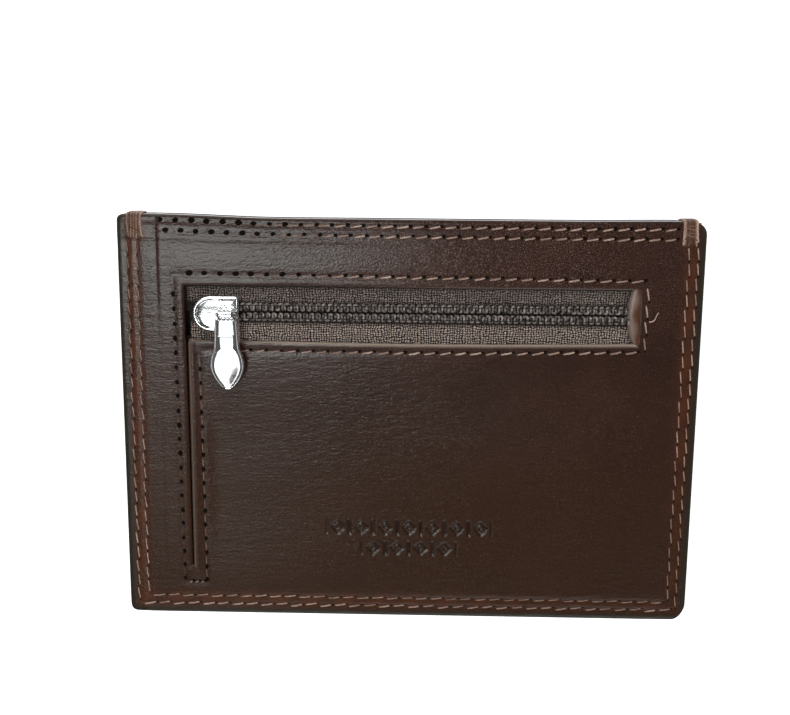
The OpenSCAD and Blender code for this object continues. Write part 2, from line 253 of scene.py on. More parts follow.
def face_height(u, v):
    """Height of the front leather's face at plan points."""
    u, v = np.asarray(u, float), np.asarray(v, float)
    to_side = np.minimum(u, WIDTH - u)
    z = Z_TOP - 0.25 * (1 - smooth(to_side / 4.5)) - 0.2 * (1 - smooth(v / 4))
    z = z - 0.12 * (1 - smooth((HEIGHT - v) / 4.5))
    for row in FRONT_ROWS:
        z = z - SEAM_PRESS * bell(distance_to_row(u, v - bow(u, v), row), 0.6)
    for outer, inner in (SIDE_ROWS, FAR_SIDE_ROWS):
        z = z + 0.02 * bell(u - (outer[0][0] + inner[0][0]) / 2, 0.5)
    # The mark of the turned edge's end beside the left seam, and the dip under the mouth's seam
    upper = 1 - 0.85 * smooth((v - 9) / 16)
    z = z - 0.08 * upper * bell(u - 7.2, 0.35) + 0.05 * upper * bell(u - 8.1, 0.6)
    z = z - (0.07 * smooth((v - 4.6) / 0.9) * (1 - smooth((v - 5.4) / 5))
             * (1 - smooth((u - 30) / 50)))
    # Soft waves, and the raised edges of the window and the slit
    z = z + (0.1 * np.sin(u / 9.0 + 0.6) * np.sin(v / 11.0 + 0.4)
             * smooth(np.minimum(to_side, HEIGHT - v) / 14))
    near_window = np.maximum(
        np.abs(u - (WINDOW_LEFT + WINDOW_RIGHT) / 2) - (WINDOW_RIGHT - WINDOW_LEFT) / 2,
        np.abs(v - ZIP_V) - (WINDOW_BOTTOM - WINDOW_TOP) / 2)
    z = z + 0.04 * bell(near_window - 0.9, 0.7)
    beside_slit = np.where(within(v, WINDOW_BOTTOM, SLIT_END + 1), 1.0, 0.0)
    z = z + 0.12 * beside_slit * bell(u - FLAP_LEFT - 0.5, 0.55)
    z = z - 0.1 * beside_slit * bell(u - WINDOW_LEFT, 0.8)
    z = z + 0.16 * bell(np.hypot(u - 13.0, v - SLIT_END - 0.7), 0.8)
    z = z - (HOLLOW * smooth((v - 28) / 20) * (1 - smooth((v - 58) / 18)) * smooth((u - 14) / 5)
             * (1 - smooth((u - 30) / 45)))
    return z - ORNAMENT_PRESS * ornament(u, v)


# --- Mesh helpers ---


def piece(name, plan, faces, material, settle=True, flat_angle=None):
    """An object from plan points and faces. Edges sharper than flat_angle are not smoothed."""
    points = in_frame(settled(plan) if settle else plan)
    mesh = bpy.data.meshes.new(name)
    mesh.from_pydata(points.tolist(), [], faces)
    bm = bmesh.new()
    bm.from_mesh(mesh)
    bmesh.ops.recalc_face_normals(bm, faces=bm.faces)
    for face in bm.faces:
        face.smooth = True
    if flat_angle is not None:
        for edge in bm.edges:
            if len(edge.link_faces) == 2 and edge.calc_face_angle() > math.radians(flat_angle):
                edge.smooth = False
    bm.to_mesh(mesh)
    bm.free()
    mesh.materials.append(material)
    return link(name, mesh)


def ruled(stops):
    """Grid lines: each stop is (place, largest step up to the next stop)."""
    lines = []
    for (here, step), (there, _) in zip(stops, stops[1:]):
        n = max(1, math.ceil((there - here) / step - 1e-6))
        lines += [here + (there - here) * i / n for i in range(n)]
    return np.array(lines + [stops[-1][0]])


def round_corners(u, v, box, radii):
    """Grid points with the corners of their rectangle turned into arcs. radii are those at the
    left and at the right."""
    left, right, top, bottom = box
    for edge_u, way_u, r in ((left, -1, radii[0]), (right, 1, radii[1])):
        for edge_v, way_v in ((top, -1), (bottom, 1)):
            centre_u, centre_v = edge_u - way_u * r, edge_v - way_v * r
            a = way_u * (u - centre_u) / r
            b = way_v * (v - centre_v) / r
            inside = (a > 0) & (b > 0)
            a, b = np.where(inside, a, 0), np.where(inside, b, 0)
            u = np.where(inside, centre_u + way_u * r * a * np.sqrt(1 - b * b / 2), u)
            v = np.where(inside, centre_v + way_v * r * b * np.sqrt(1 - a * a / 2), v)
    return u, v


def grid_faces(kept):
    """Faces of the kept cells of a grid, on points numbered line by line."""
    i, j = np.nonzero(kept)
    n = kept.shape[1] + 1
    corner = i * n + j
    return np.column_stack([corner, corner + n, corner + n + 1, corner + 1])


def border_loops(faces):
    """The borders of a grid of faces, each as one ring of point numbers."""
    sides = {(f[k], f[(k + 1) % 4]) for f in faces.tolist() for k in range(4)}
    follow = {a: b for a, b in sides if (b, a) not in sides}
    loops = []
    while follow:
        start = min(follow)
        loop = [start]
        while follow[loop[-1]] != start:
            loop.append(follow.pop(loop[-1]))
        follow.pop(loop[-1])
        loops.append(np.array(loop))
    return loops


def ring_faces(rings):
    """Faces that join rings of point numbers, each ring to the next."""
    faces = []
    for low, high in zip(rings, rings[1:]):
        faces += np.column_stack([low, np.roll(low, -1), np.roll(high, -1), high]).tolist()
    return faces


def both_sides(faces, count):
    """A grid's faces, and those of its other side, whose points are numbered count later."""
    return [*faces.tolist(), *(faces[:, ::-1] + count).tolist()]


def strip(us, vs):
    """Plan points of a full grid, and the faces of a closed strip with them on both its sides."""
    u, v = (a.ravel() for a in np.meshgrid(us, vs, indexing="ij"))
    faces = grid_faces(np.ones((len(us) - 1, len(vs) - 1), bool))
    loop = border_loops(faces)[0]
    return u, v, both_sides(faces, len(u)) + ring_faces([loop, loop + len(u)])


def numbered_rings(size, count):
    """The point numbers of count rings of one size."""
    return [np.arange(size) + size * k for k in range(count)]


def capped(size, count):
    """Faces of a closed solid through rings of points, with a flat cap at each end."""
    rings = numbered_rings(size, count)
    return ring_faces(rings) + [rings[0][::-1].tolist(), rings[-1].tolist()]


def loft(loops):
    """A closed solid through rings of plan points."""
    return np.vstack(loops), capped(len(loops[0]), len(loops))


def joined(parts):
    """One list of points and one of faces, from several."""
    points, faces, total = [], [], 0
    for p, f in parts:
        points.append(np.asarray(p, float))
        faces += [[int(k) + total for k in face] for face in f]
        total += len(p)
    return np.vstack(points), faces


def round_angles(n):
    return np.linspace(0, 2 * np.pi, n, endpoint=False)


def unit(vectors):
    return vectors / np.linalg.norm(vectors, axis=1)[:, None]


def softened(line, times):
    """A line with its inner points drawn towards their neighbours."""
    for _ in range(times):
        line[1:-1] = (line[:-2] + 2 * line[1:-1] + line[2:]) / 4
    return line


def softened_ring(ring, times):
    """A ring's values, each drawn towards its neighbours."""
    for _ in range(times):
        ring = (np.roll(ring, 1) + 2 * ring + np.roll(ring, -1)) / 4
    return ring


def outward(u, v):
    """Unit vectors that point out of a ring of plan points."""
    du, dv = np.roll(u, -1) - np.roll(u, 1), np.roll(v, -1) - np.roll(v, 1)
    length = np.hypot(du, dv)
    return dv / length, -du / length


def inset_loft(outline, steps):
    """A solid from one outline: each step is (inset, height)."""
    u, v = outline[:, 0], outline[:, 1]
    out_u, out_v = outward(u, v)
    if np.sum(u * np.roll(v, -1) - v * np.roll(u, -1)) < 0:
        out_u, out_v = -out_u, -out_v
    return loft([np.column_stack([u - out_u * d, v - out_v * d, np.full(len(u), z)])
                 for d, z in steps])


def panel(name, us, vs, box, radii, outer, inner, rims, material, missing=None, squeeze=None):
    """A closed panel: an outer face, an inner face, and rims that join their borders.

    outer and inner are functions of u and v that give the faces' heights. rims takes a border's
    plan points, its height and whether it is the outline, and gives rings of (offset, height); an
    offset of None puts a ring under the inner face's border. missing says where the panel is cut
    away, and squeeze moves the inner face's points.
    """
    u, v = np.meshgrid(us, vs, indexing="ij")
    kept = np.ones((len(us) - 1, len(vs) - 1), bool)
    if missing is not None:
        middle_u, middle_v = (us[1:] + us[:-1]) / 2, (vs[1:] + vs[:-1]) / 2
        kept = ~missing(*np.meshgrid(middle_u, middle_v, indexing="ij"))
    inner_u, inner_v = (a.ravel() for a in (squeeze(u, v) if squeeze else (u, v)))
    u, v = round_corners(u, v, box, radii)
    u, v = u.ravel(), v.ravel() + bow(u.ravel(), v.ravel()) * (missing is not None)
    faces = grid_faces(kept)
    loops = border_loops(faces)
    for loop in loops:
        if loop[0] != 0:  # a window's border
            u[loop], v[loop] = softened_ring(u[loop], 3), softened_ring(v[loop], 3)
            inner_u[loop], inner_v[loop] = u[loop], v[loop]
    top = np.column_stack([u, v, outer(u, v)])
    under = np.column_stack([inner_u, inner_v, inner(inner_u, inner_v)])
    points = [top, under]
    count = len(top)
    made = both_sides(faces, count)
    total = 2 * count
    for loop in loops:
        rings = [loop]
        out_u, out_v = outward(u[loop], v[loop])
        for offset, height in rims(u[loop], v[loop], top[loop, 2], loop[0] == 0):
            at = under[loop, :2] if offset is None else np.column_stack(
                [u[loop] + out_u * offset, v[loop] + out_v * offset])
            points.append(np.column_stack([at, np.broadcast_to(height, len(loop))]))
            rings.append(np.arange(total, total + len(loop)))
            total += len(loop)
        made += ring_faces([*rings, loop + count])
    points = np.vstack(points)
    used = np.unique(np.concatenate([np.array(f) for f in made]))
    renumber = np.full(len(points), -1)
    renumber[used] = np.arange(len(used))
    made = [[int(renumber[k]) for k in f] for f in made]
    return piece(name, points[used], made, material), points[used]


PLY_DEPTH = 0.16  # depth of the grooves between a thread's plies, as a share of its radius


def tube(line, radius, sides=8, flatten=1.0, twist=0.0, plies=0):
    """Points and faces of a tube along a line of plan points. plies and twist make its surface a
    rope's."""
    line = np.asarray(line, float)
    radius = np.broadcast_to(radius, len(line))
    along = unit(np.gradient(line, axis=0))
    across = np.cross(along, (0.0, 0.0, 1.0))
    upright = np.linalg.norm(across, axis=1) < 1e-3
    across[upright] = (1, 0, 0)
    across = unit(across)
    lift = np.cross(across, along)
    angle = round_angles(sides)
    run = np.concatenate([[0], np.cumsum(np.linalg.norm(np.diff(line, axis=0), axis=1))])
    ropy = np.cos(plies * angle[None, :] - twist * run[:, None]) * (plies > 0)
    r = radius[:, None] * (1 + PLY_DEPTH * ropy)
    points = (line[:, None, :] + (r * np.cos(angle))[..., None] * across[:, None, :]
              + (r * np.sin(angle) * flatten)[..., None] * lift[:, None, :])
    return points.reshape(-1, 3), capped(sides, len(line))


def paint(obj, name, values):
    """A value for each point, read by the materials."""
    attribute = obj.data.attributes.new(name, "FLOAT", "POINT")
    attribute.data.foreach_set("value", np.asarray(values, np.float32))


# --- Materials ---


class Nodes:
    """Short words for building a material's nodes. A colour is (red, green, blue) or a socket."""

    def __init__(self, name, **settings):
        self.material = bpy.data.materials.new(name)
        self.material.use_nodes = True
        self.tree = self.material.node_tree
        self.shader = self.tree.nodes["Principled BSDF"]
        for socket, value in settings.items():
            self.shader.inputs[socket.replace("_", " ")].default_value = value
        self.place = self.add("ShaderNodeTexCoord").outputs["Object"]

    def add(self, kind, **inputs):
        node = self.tree.nodes.new(kind)
        for name, value in inputs.items():
            self.give(node.inputs[name.replace("_", " ")], value)
        return node

    def give(self, socket, value):
        if isinstance(value, bpy.types.NodeSocket):
            self.tree.links.new(value, socket)
        else:
            socket.default_value = value

    def scaled(self, x, y, z):
        """The place on the object, with each axis multiplied."""
        node = self.add("ShaderNodeVectorMath", Vector=self.place)
        node.operation = "MULTIPLY"
        node.inputs[1].default_value = (x, y, z)
        return node.outputs[0]

    def noise(self, scale, detail=3.0, rough=0.55, place=None):
        node = self.add("ShaderNodeTexNoise", Scale=scale, Detail=detail, Roughness=rough)
        self.give(node.inputs["Vector"], self.place if place is None else place)
        return node.outputs["Fac"]

    def cells(self, scale, feature="F1", place=None):
        node = self.add("ShaderNodeTexVoronoi", Scale=scale)
        node.feature = feature
        self.give(node.inputs["Vector"], self.place if place is None else place)
        return node.outputs["Distance"]

    def weave(self, warp, weft, distortion=0.0):
        """High where a warp thread and a weft thread are both on top."""
        waves = []
        for axis, scale in (("X", warp), ("Y", weft)):
            node = self.add("ShaderNodeTexWave", Scale=scale, Distortion=distortion)
            node.bands_direction = axis
            self.give(node.inputs["Vector"], self.place)
            waves.append(node.outputs["Fac"])
        return self.times(*waves)

    def map(self, value, low, high, to_low=0.0, to_high=1.0):
        node = self.add("ShaderNodeMapRange", Value=value)
        for socket, number in zip(("From Min", "From Max", "To Min", "To Max"),
                                  (low, high, to_low, to_high)):
            self.give(node.inputs[socket], number)
        return node.outputs[0]

    def math(self, operation, a, b):
        node = self.add("ShaderNodeMath")
        node.operation = operation
        self.give(node.inputs[0], a)
        self.give(node.inputs[1], b)
        return node.outputs[0]

    def times(self, a, b):
        return self.math("MULTIPLY", a, b)

    def plus(self, a, b):
        return self.math("ADD", a, b)

    def mix(self, factor, a, b):
        """Colour a where the factor is 0, and colour b where it is 1."""
        node = self.add("ShaderNodeMix")
        node.data_type = "RGBA"
        for index, value in ((0, factor), (6, a), (7, b)):
            self.give(node.inputs[index], (*value, 1) if isinstance(value, tuple) else value)
        return node.outputs[2]

    def painted(self, name):
        node = self.add("ShaderNodeAttribute")
        node.attribute_name = name
        return node.outputs["Fac"]

    def bump(self, height, distance, strength=1.0, normal=None):
        node = self.add("ShaderNodeBump", Height=height, Distance=distance, Strength=strength)
        if normal is not None:
            self.give(node.inputs["Normal"], normal)
        return node.outputs[0]

    def finish(self, colour, rough, normal=None):
        for socket, value in (("Base Color", colour), ("Roughness", rough), ("Normal", normal)):
            if value is not None:
                self.give(self.shader.inputs[socket], value)
        return self.material


def leather_material(name, dark, warm, rusty, edge):
    """Glazed leather: pebbles, creases that run across, soft mottling, pale specks that serve as painted
    glints where the sheen falls, dark edges, rust-brown seams, and a painted highlight on rolled edges."""
    m = Nodes(name, Specular_IOR_Level=0.3)
    creases = m.noise(1.0, 3.0, 0.55, m.scaled(520, 1900, 520))
    long_creases = m.noise(1.0, 3.0, 0.5, m.scaled(110, 620, 110))
    pebbles = m.cells(1.0, "SMOOTH_F1", m.scaled(2100, 2600, 2300))
    pores = m.noise(4200.0, 2.0, 0.7)
    mottle = m.noise(46.0, 4.0, 0.6)
    cloud = m.noise(17.0, 2.0, 0.5)
    olive = (0.9 * warm[0], 0.96 * warm[1], 0.55 * warm[2])
    deep = tuple(0.35 * c for c in dark)
    # Pale specks in the grain; where the sheen falls they stand in as painted glints.
    fleck_and_glint_colour = (0.25, 0.155, 0.135)
    # Painted highlight for the rolled edges of the window and the slit, where they catch the light.
    painted_edge_highlight = (0.40, 0.315, 0.255)
    colour = m.mix(m.map(mottle, 0.38, 0.66), dark, warm)
    colour = m.mix(m.map(cloud, 0.5, 0.72, 0.0, 0.55), colour, dark)
    colour = m.mix(m.map(creases, 0.54, 0.72, 0.0, 0.4), colour, warm)
    colour = m.mix(m.painted("olive"), colour, olive)
    colour = m.mix(m.map(pebbles, 0.25, 0.6, 0.0, 0.35), colour, dark)
    colour = m.mix(m.times(m.map(pores, 0.53, 0.67), m.painted("flecks_and_painted_glints")), colour, fleck_and_glint_colour)
    for area, shade in (("seam", rusty), ("edge", edge), ("pressed", deep), ("painted_edge_highlight", painted_edge_highlight)):
        colour = m.mix(m.painted(area), colour, shade)
    rough = m.map(m.plus(m.times(creases, 0.5), m.times(pores, 0.5)), 0.35, 0.65, 0.19, 0.28)
    coarse = m.bump(long_creases, 0.0002, 0.3)
    fine = m.bump(m.times(creases, m.painted("creased")), 0.0002, 0.7, coarse)
    normal = m.bump(m.plus(pebbles, m.times(pores, 0.6)), 0.00005, 0.6, fine)
    return m.finish(colour, rough, normal)


def tape_material():
    """Zip tape: a close plain weave of dark yarn with paler crossings."""
    m = Nodes("woven_zip_tape", Specular_IOR_Level=0.2, Sheen_Weight=0.05)
    weave = m.weave(600.0, 660.0, 7.0)
    flecks = m.cells(2000.0)
    fuzz = m.noise(2600.0, 2.0)
    patchy = m.noise(2700.0, 3.0)
    colour = m.mix(m.map(weave, 0.2, 0.6), (0.012, 0.009, 0.008), (0.38, 0.305, 0.27))
    colour = m.mix(m.map(patchy, 0.42, 0.60, 0.0, 0.8), colour, (0.030, 0.022, 0.020))
    colour = m.mix(m.map(flecks, 0.0, 0.36, 0.8, 0.0), colour, (0.42, 0.35, 0.31))
    crossings = m.times(m.map(weave, 0.07, 0.4), m.map(patchy, 0.42, 0.58, 0.05, 1.0))
    colour = m.mix(m.times(m.painted("pale"), crossings), colour, (0.76, 0.59, 0.50))
    colour = m.mix(m.painted("shaded"), colour, (0.010, 0.007, 0.006))
    rough = m.map(fuzz, 0.3, 0.7, 0.6, 0.9)
    return m.finish(colour, rough, m.bump(m.plus(weave, m.times(fuzz, 0.4)), 0.00014, 0.9))


def coil_material():
    """Nylon monofilament: smooth and dark, with a soft gloss; its pale mottling is painted glints on the
    turns.
    """
    m = Nodes("nylon_coil", Specular_IOR_Level=0.8)
    streaks_and_glints = m.noise(1400.0, 2.0)
    # The pale end paints glints on the coil's turns; the dark end is the nylon's own colour.
    colour = m.mix(m.map(streaks_and_glints, 0.38, 0.64), (0.028, 0.023, 0.021), (0.40, 0.335, 0.305))
    rough = m.map(streaks_and_glints, 0.3, 0.7, 0.24, 0.4)
    return m.finish(colour, rough, m.bump(streaks_and_glints, 0.00002, 0.3))


def metal_material():
    """Chrome plate with faint rubbing marks."""
    m = Nodes("chrome_plate", Metallic=1.0)
    rubs = m.noise(1.0, 3.0, 0.6, m.scaled(500, 3200, 500))
    clouds = m.noise(300.0, 2.0)
    colour = m.mix(m.map(clouds, 0.3, 0.7), (0.90, 0.91, 0.92), (0.97, 0.97, 0.97))
    rough = m.map(rubs, 0.3, 0.7, 0.07, 0.2)
    return m.finish(colour, rough, m.bump(clouds, 0.00003, 0.25))


def thread_material():
    """Twisted sewing thread, rust brown with pale plies, with painted shade that darkens it where it sinks
    into the leather.
    """
    m = Nodes("sewing_thread", Specular_IOR_Level=0.3, Sheen_Weight=0.1)
    fibres = m.noise(3800.0, 3.0, 0.6)
    shade = m.noise(260.0, 2.0)
    colour = m.mix(m.map(fibres, 0.3, 0.7), (0.27, 0.155, 0.11), (0.82, 0.60, 0.49))
    colour = m.mix(m.map(shade, 0.42, 0.62, 0.0, 0.5), colour, (0.13, 0.052, 0.03))
    # Painted shade on thread sunk into the leather; in the bar tacks it also varies the tone from strand to
    # strand.
    colour = m.mix(m.painted("sunk"), colour, (0.082, 0.031, 0.0155))
    rough = m.map(fibres, 0.3, 0.7, 0.55, 0.8)
    return m.finish(colour, rough, m.bump(fibres, 0.00005, 0.6))


def lining_material():
    """Lining cloth: a fine dark plain weave."""
    m = Nodes("lining_cloth", Specular_IOR_Level=0.3, Sheen_Weight=0.1)
    weave = m.weave(900.0, 900.0)
    slubs = m.noise(700.0, 3.0)
    colour = m.mix(m.map(weave, 0.1, 0.8), (0.014, 0.011, 0.009), (0.035, 0.028, 0.023))
    rough = m.map(slubs, 0.3, 0.7, 0.65, 0.85)
    return m.finish(colour, rough, m.bump(weave, 0.00004, 0.6))


def hole_shade_material():
    """Painted shade for the inside of a needle hole: near-black, with a faint fibre texture."""
    m = Nodes("needle_hole", Specular_IOR_Level=0.1)
    fibre = m.noise(5000.0, 2.0)
    colour = m.mix(m.map(fibre, 0.3, 0.7), (0.002, 0.0015, 0.001), (0.008, 0.004, 0.003))
    return m.finish(colour, m.map(fibre, 0.3, 0.7, 0.85, 1.0), m.bump(fibre, 0.00003))


LEATHER = leather_material("dark_leather", (0.0255, 0.0105, 0.0068), (0.041, 0.0170, 0.0112),
                           (0.086, 0.027, 0.0115), (0.028, 0.022, 0.0145))
TAB_LEATHER = leather_material("light_leather", (0.17, 0.122, 0.098), (0.28, 0.212, 0.175),
                               (0.085, 0.032, 0.018), (0.10, 0.06, 0.04))
TAPE = tape_material()
COIL = coil_material()
METAL = metal_material()
THREAD = thread_material()
LINING = lining_material()
HOLE_SHADE = hole_shade_material()

# --- Leather ---

EDGE_INSET = 0.6  # from the outline to the border of a panel's face
LIP = 0.35  # from the window's edge to the border of the front face
FACE_R = (0.6, 2.0)  # radii of the face's corners, at the left and at the right
FOLD_SOFTNESS = 12.0  # the leather bends over this distance from the fold line


def flap_distance(plan):
    """Distance of plan points from the flap's fold line, towards the corner that lifts."""
    away = np.asarray(plan)[:, :2] - crease_point[:2]
    return away[:, 0] * crease_way[1] - away[:, 1] * crease_way[0]


fold_normal = np.array([crease_way[1], -crease_way[0]])
fold_start = in_frame([crease_point])[0]
fold_end = in_frame([crease_point + np.append(fold_normal * FOLD_SOFTNESS, 0)])[0]


def fold_with_flap(obj, share=None):
    """obj bends at the fold line. share, a value for each point, lowers how far it follows."""
    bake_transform(obj, "wallet", "coin_flap", start=fold_start, end=fold_end)
    if share is not None:
        weights = np.zeros(len(obj.data.vertices), np.float32)
        attribute = obj.data.attributes["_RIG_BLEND"]
        attribute.data.foreach_get("value", weights)
        attribute.data.foreach_set("value", (weights * share).astype(np.float32))


def squeezed(low, high):
    """A map that moves places near both ends of a face inwards, past the turned hem."""
    margin = 0.6  # between the hem's end and the stretch that stays where it is
    span = HEM + margin - EDGE_INSET

    def moved(x, at_low=True):
        if at_low:
            near = low + HEM + (x - low - EDGE_INSET) * margin / span
            x = np.where(x < low + HEM + margin, near, x)
        far = high - HEM - (high - EDGE_INSET - x) * margin / span
        return np.where(x > high - HEM - margin, far, x)

    return moved


def turned_rim(outer_z, inner_z, hem_z, share):
    """Rings round a turned-in edge: over the rounded outer edge, down to the hem's end, and back
    to the inner face. share is 0 where the edge has no hem."""
    way = np.sign(inner_z - outer_z)
    far = inner_z + (hem_z - inner_z) * share
    near = outer_z + way * 0.5
    return [
        (0.3, outer_z + way * 0.05), (0.48, outer_z + way * 0.16), (0.58, outer_z + way * 0.36),
        (0.6, near + (far - near) * 0.25), (0.6, near + (far - near) * 0.7),
        (0.52, far - way * 0.12), (0.3, far - way * 0.02), (0.0, far),
        (None, far - way * 0.01 * (share < 0.5)),
    ]


def in_opening(u, v):
    """Whether a place is in the window or the slit, out to the border of the front face."""
    window = (within(u, WINDOW_LEFT - LIP, WINDOW_RIGHT + LIP)
              & within(v, WINDOW_TOP - LIP, WINDOW_BOTTOM + LIP))
    slit = within(u, WINDOW_LEFT - LIP, FLAP_LEFT + LIP) & within(v, WINDOW_TOP, SLIT_END + LIP)
    return window | slit


def leather_paint(obj, plan):
    """Where the leather is rust brown, darker, pressed, given a painted edge highlight, flecked with pale
    specks and painted glints, olive or creased.
    """
    u, v, z = plan.T
    to_side = np.minimum(u, WIDTH - u)
    side = np.minimum(to_side, HEIGHT - v)
    seam = np.maximum(bell(side - 2.5, 1.5), 0.9 * bell(to_side - 2.6, 2.0) * (v < 5.5))
    less = 1 - 0.5 * smooth((u - 40) / 50) * smooth((v - 35) / 30)
    paint(obj, "seam", 0.85 * seam * less * (0.7 + 0.3 * np.sin(u * 0.9 + v * 0.7)))
    reach = 0.6 + 0.6 * smooth((HEIGHT - v - 1.0) / 2.0)
    paint(obj, "edge", np.maximum(1 - smooth((side - 0.5) / reach), 0.7 * (1 - smooth(v / 0.9))))
    paint(obj, "pressed", 0.75 * ornament(u, v) * (z > Z_FRONT + 0.1))
    # Painted highlight along the rolled edges: below the window, along its top at the right, and beside the
    # slit.
    across = within(u, FLAP_LEFT, WINDOW_RIGHT)
    lower = np.where(across, bell(v - WINDOW_BOTTOM - bow(u, v) - 0.02, 0.34), 0)
    lower = lower * (0.3 + 0.7 * smooth((u - 20) / 14))
    upper = np.where(across, 0.45 * bell(v - WINDOW_TOP, 0.2) * smooth((u - 45) / 25), 0)
    beside = np.where(within(v, WINDOW_BOTTOM, SLIT_END), 0.3 * bell(u - FLAP_LEFT - 0.05, 0.22), 0)
    paint(obj, "painted_edge_highlight", np.maximum(np.maximum(lower, upper), beside) * (z > Z_FRONT + 0.3))
    # Pale specks: a few everywhere, more in the upper band and between the left seams, where they are
    # painted glints in the sheen.
    band = (1 - smooth((v - 14) / 16)) * smooth((u - 20) / 40) * (1 - 0.6 * smooth((u - 88) / 15))
    paint(obj, "flecks_and_painted_glints", np.clip(0.55 * band + 0.14 + 0.8 * bell(u - 2.8, 1.6), 0, 1))
    paint(obj, "olive", 0.75 * smooth((v - 22) / 40) * (1 - 0.3 * smooth((u - 60) / 50)))
    paint(obj, "creased", np.clip(0.35 + 0.8 * (bell(u - 75, 30) * bell(v - 38, 14)), 0, 1))


def front_leather():
    """The front leather in one piece: face, turned edges, window and slit. Its grid is finer
    at the borders, at the turned edge's mark beside the left seam, and at the ornament."""
    right, low = WIDTH - EDGE_INSET, HEIGHT - EDGE_INSET
    top = MOUTH_EDGE + EDGE_INSET
    us = ruled([
        (EDGE_INSET, 0.2), (1.2, 0.4), (4.6, 0.6), (6.4, 0.3), (8.8, 0.6), (9.6, 0.4),
        (WINDOW_LEFT - LIP, 0.35), (FLAP_LEFT + LIP, 0.35), (16.6, 0.7), (40.2, 0.3), (75.2, 0.7),
        (WINDOW_RIGHT + LIP, 0.45), (105.2, 0.7), (110.2, 0.4), (right - 2.0, 0.35), (right, 0.35),
    ])
    vs = ruled([
        (top, 0.2), (top + 0.6, 0.4), (5.6, 0.7), (10.8, 0.4), (WINDOW_TOP - LIP, 0.4),
        (WINDOW_BOTTOM + LIP, 0.4), (28.0, 0.7), (61.2, 0.3), (69.8, 0.5), (SLIT_END + LIP, 0.4),
        (77.0, 0.4), (low - 0.6, 0.2), (low, 0.2),
    ])
    move_u, move_v = squeezed(0, WIDTH), squeezed(MOUTH_EDGE, HEIGHT)

    def rims(u, v, z, outline):
        if outline:
            return turned_rim(z, np.full(len(u), Z_FRONT), Z_COIN, np.ones(len(u)))
        beside = (v > WINDOW_BOTTOM) & (u < FLAP_LEFT + 1)
        down = (v - WINDOW_BOTTOM) / (SLIT_END - WINDOW_BOTTOM)
        grow = np.where(u > WINDOW_LEFT + 0.4, 0.42 - 0.1 * down, 0.12 + 0.2 * down)
        reach = 1 + np.where(beside, grow, 0) / LIP
        return [(0.14 * reach, z - 0.05), (0.25 * reach, z - 0.16), (0.33 * reach, z - 0.36),
                (LIP * reach, z - 0.6), (LIP * reach, Z_FRONT + 0.22),
                (0.28 * reach, Z_FRONT + 0.06), (0.15, Z_FRONT + 0.01)]

    obj, plan = panel(
        "front_leather", us, vs, (EDGE_INSET, right, top, low), FACE_R, face_height,
        level(Z_FRONT), rims, LEATHER, in_opening, lambda u, v: (move_u(u), move_v(v)))
    leather_paint(obj, plan)
    on_flap = (plan[:, 0] > (WINDOW_LEFT + FLAP_LEFT) / 2) & (plan[:, 1] > ZIP_V)
    fold_with_flap(obj, on_flap)
    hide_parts("front_panel", "coin_flap", "front_hem")


def back_leather(name, panel_node, hem_node, crown):
    """A back panel or a card pocket: its face looks down, its sides and bottom are turned in."""
    _, _, mouth, _, outer_z, inner_z = plan_box(panel_node)
    hem_z = cad(hem_node)[1][2]
    mouth_rows = [((3.0, mouth + d), (WIDTH - 3.0, mouth + d)) for d in (1.7, 3.7)]
    top, low, right = mouth + EDGE_INSET, HEIGHT - EDGE_INSET, WIDTH - EDGE_INSET
    us = ruled([(EDGE_INSET, 0.2), (1.2, 0.8), (6, 1.4), (right - 6, 0.8), (right - 2, 0.35),
                (right, 0.35)])
    vs = ruled([(top, 0.2), (top + 0.6, 0.8), (top + 6, 1.4), (low - 6, 0.8), (low - 0.6, 0.2),
                (low, 0.2)])
    move_u, move_v = squeezed(0, WIDTH), squeezed(mouth, HEIGHT)

    def face(u, v):
        side = np.minimum(np.minimum(u, WIDTH - u), HEIGHT - v)
        z = outer_z + crown * (1 - smooth(side / 5))
        for row in (*EDGE_ROWS, *mouth_rows):
            z = z + 0.36 * bell(distance_to_row(u, v, row), 0.6)
        return z

    def rims(u, v, z, outline):
        return turned_rim(z, np.full(len(u), inner_z), hem_z, smooth((v - top - 0.6) / 2.5))

    obj, plan = panel(name, us, vs, (EDGE_INSET, right, top, low), FACE_R, face, level(inner_z),
                      rims, LEATHER,
                      squeeze=lambda u, v: (move_u(u), move_v(v, at_low=False)))
    leather_paint(obj, plan)
    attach(obj, "wallet")
    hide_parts(panel_node, hem_node)
    card_side_thread(name + "_stitches", face, mouth, mouth_rows)


# --- Thread ---
# proud is how far thread stands out of the leather: 1 where it lies on top, 0 or less where it has sunk in,
# and the less proud it is, the darker its painted shade. A hole's size is 0 to about 1.2.

STITCH = 3.05
THREAD_R = 0.175
TACK_R, BINDING_R = 0.17, 0.11  # radii of a bar tack's strands and of the thread that binds them


def face_way(height):
    """1 for a face that looks up, and -1 for one that looks down."""
    return 1 if height(WIDTH / 2, HEIGHT / 2) > Z_FRONT else -1


def one_stitch(start, end, height, proud, radius):
    """Thread from one hole to the next: it comes out of the leather, lies on it and dives in."""
    t = np.linspace(0, 1, 9)
    arch = np.sin(np.pi * t) ** 0.55
    u = start[0] + (end[0] - start[0]) * t
    v = start[1] + (end[1] - start[1]) * t
    rise = (-0.34 + (0.34 + radius * (0.15 + 0.7 * proud)) * arch) * face_way(height)
    line = np.column_stack([u, v, height(u, v) + rise])
    taper = 0.8 + 0.2 * arch if radius > 0.16 else 1.2 - 0.35 * arch
    return tube(line, radius * (0.62 + 0.38 * proud) * taper, 8, 0.82, twist=5.5, plies=3)


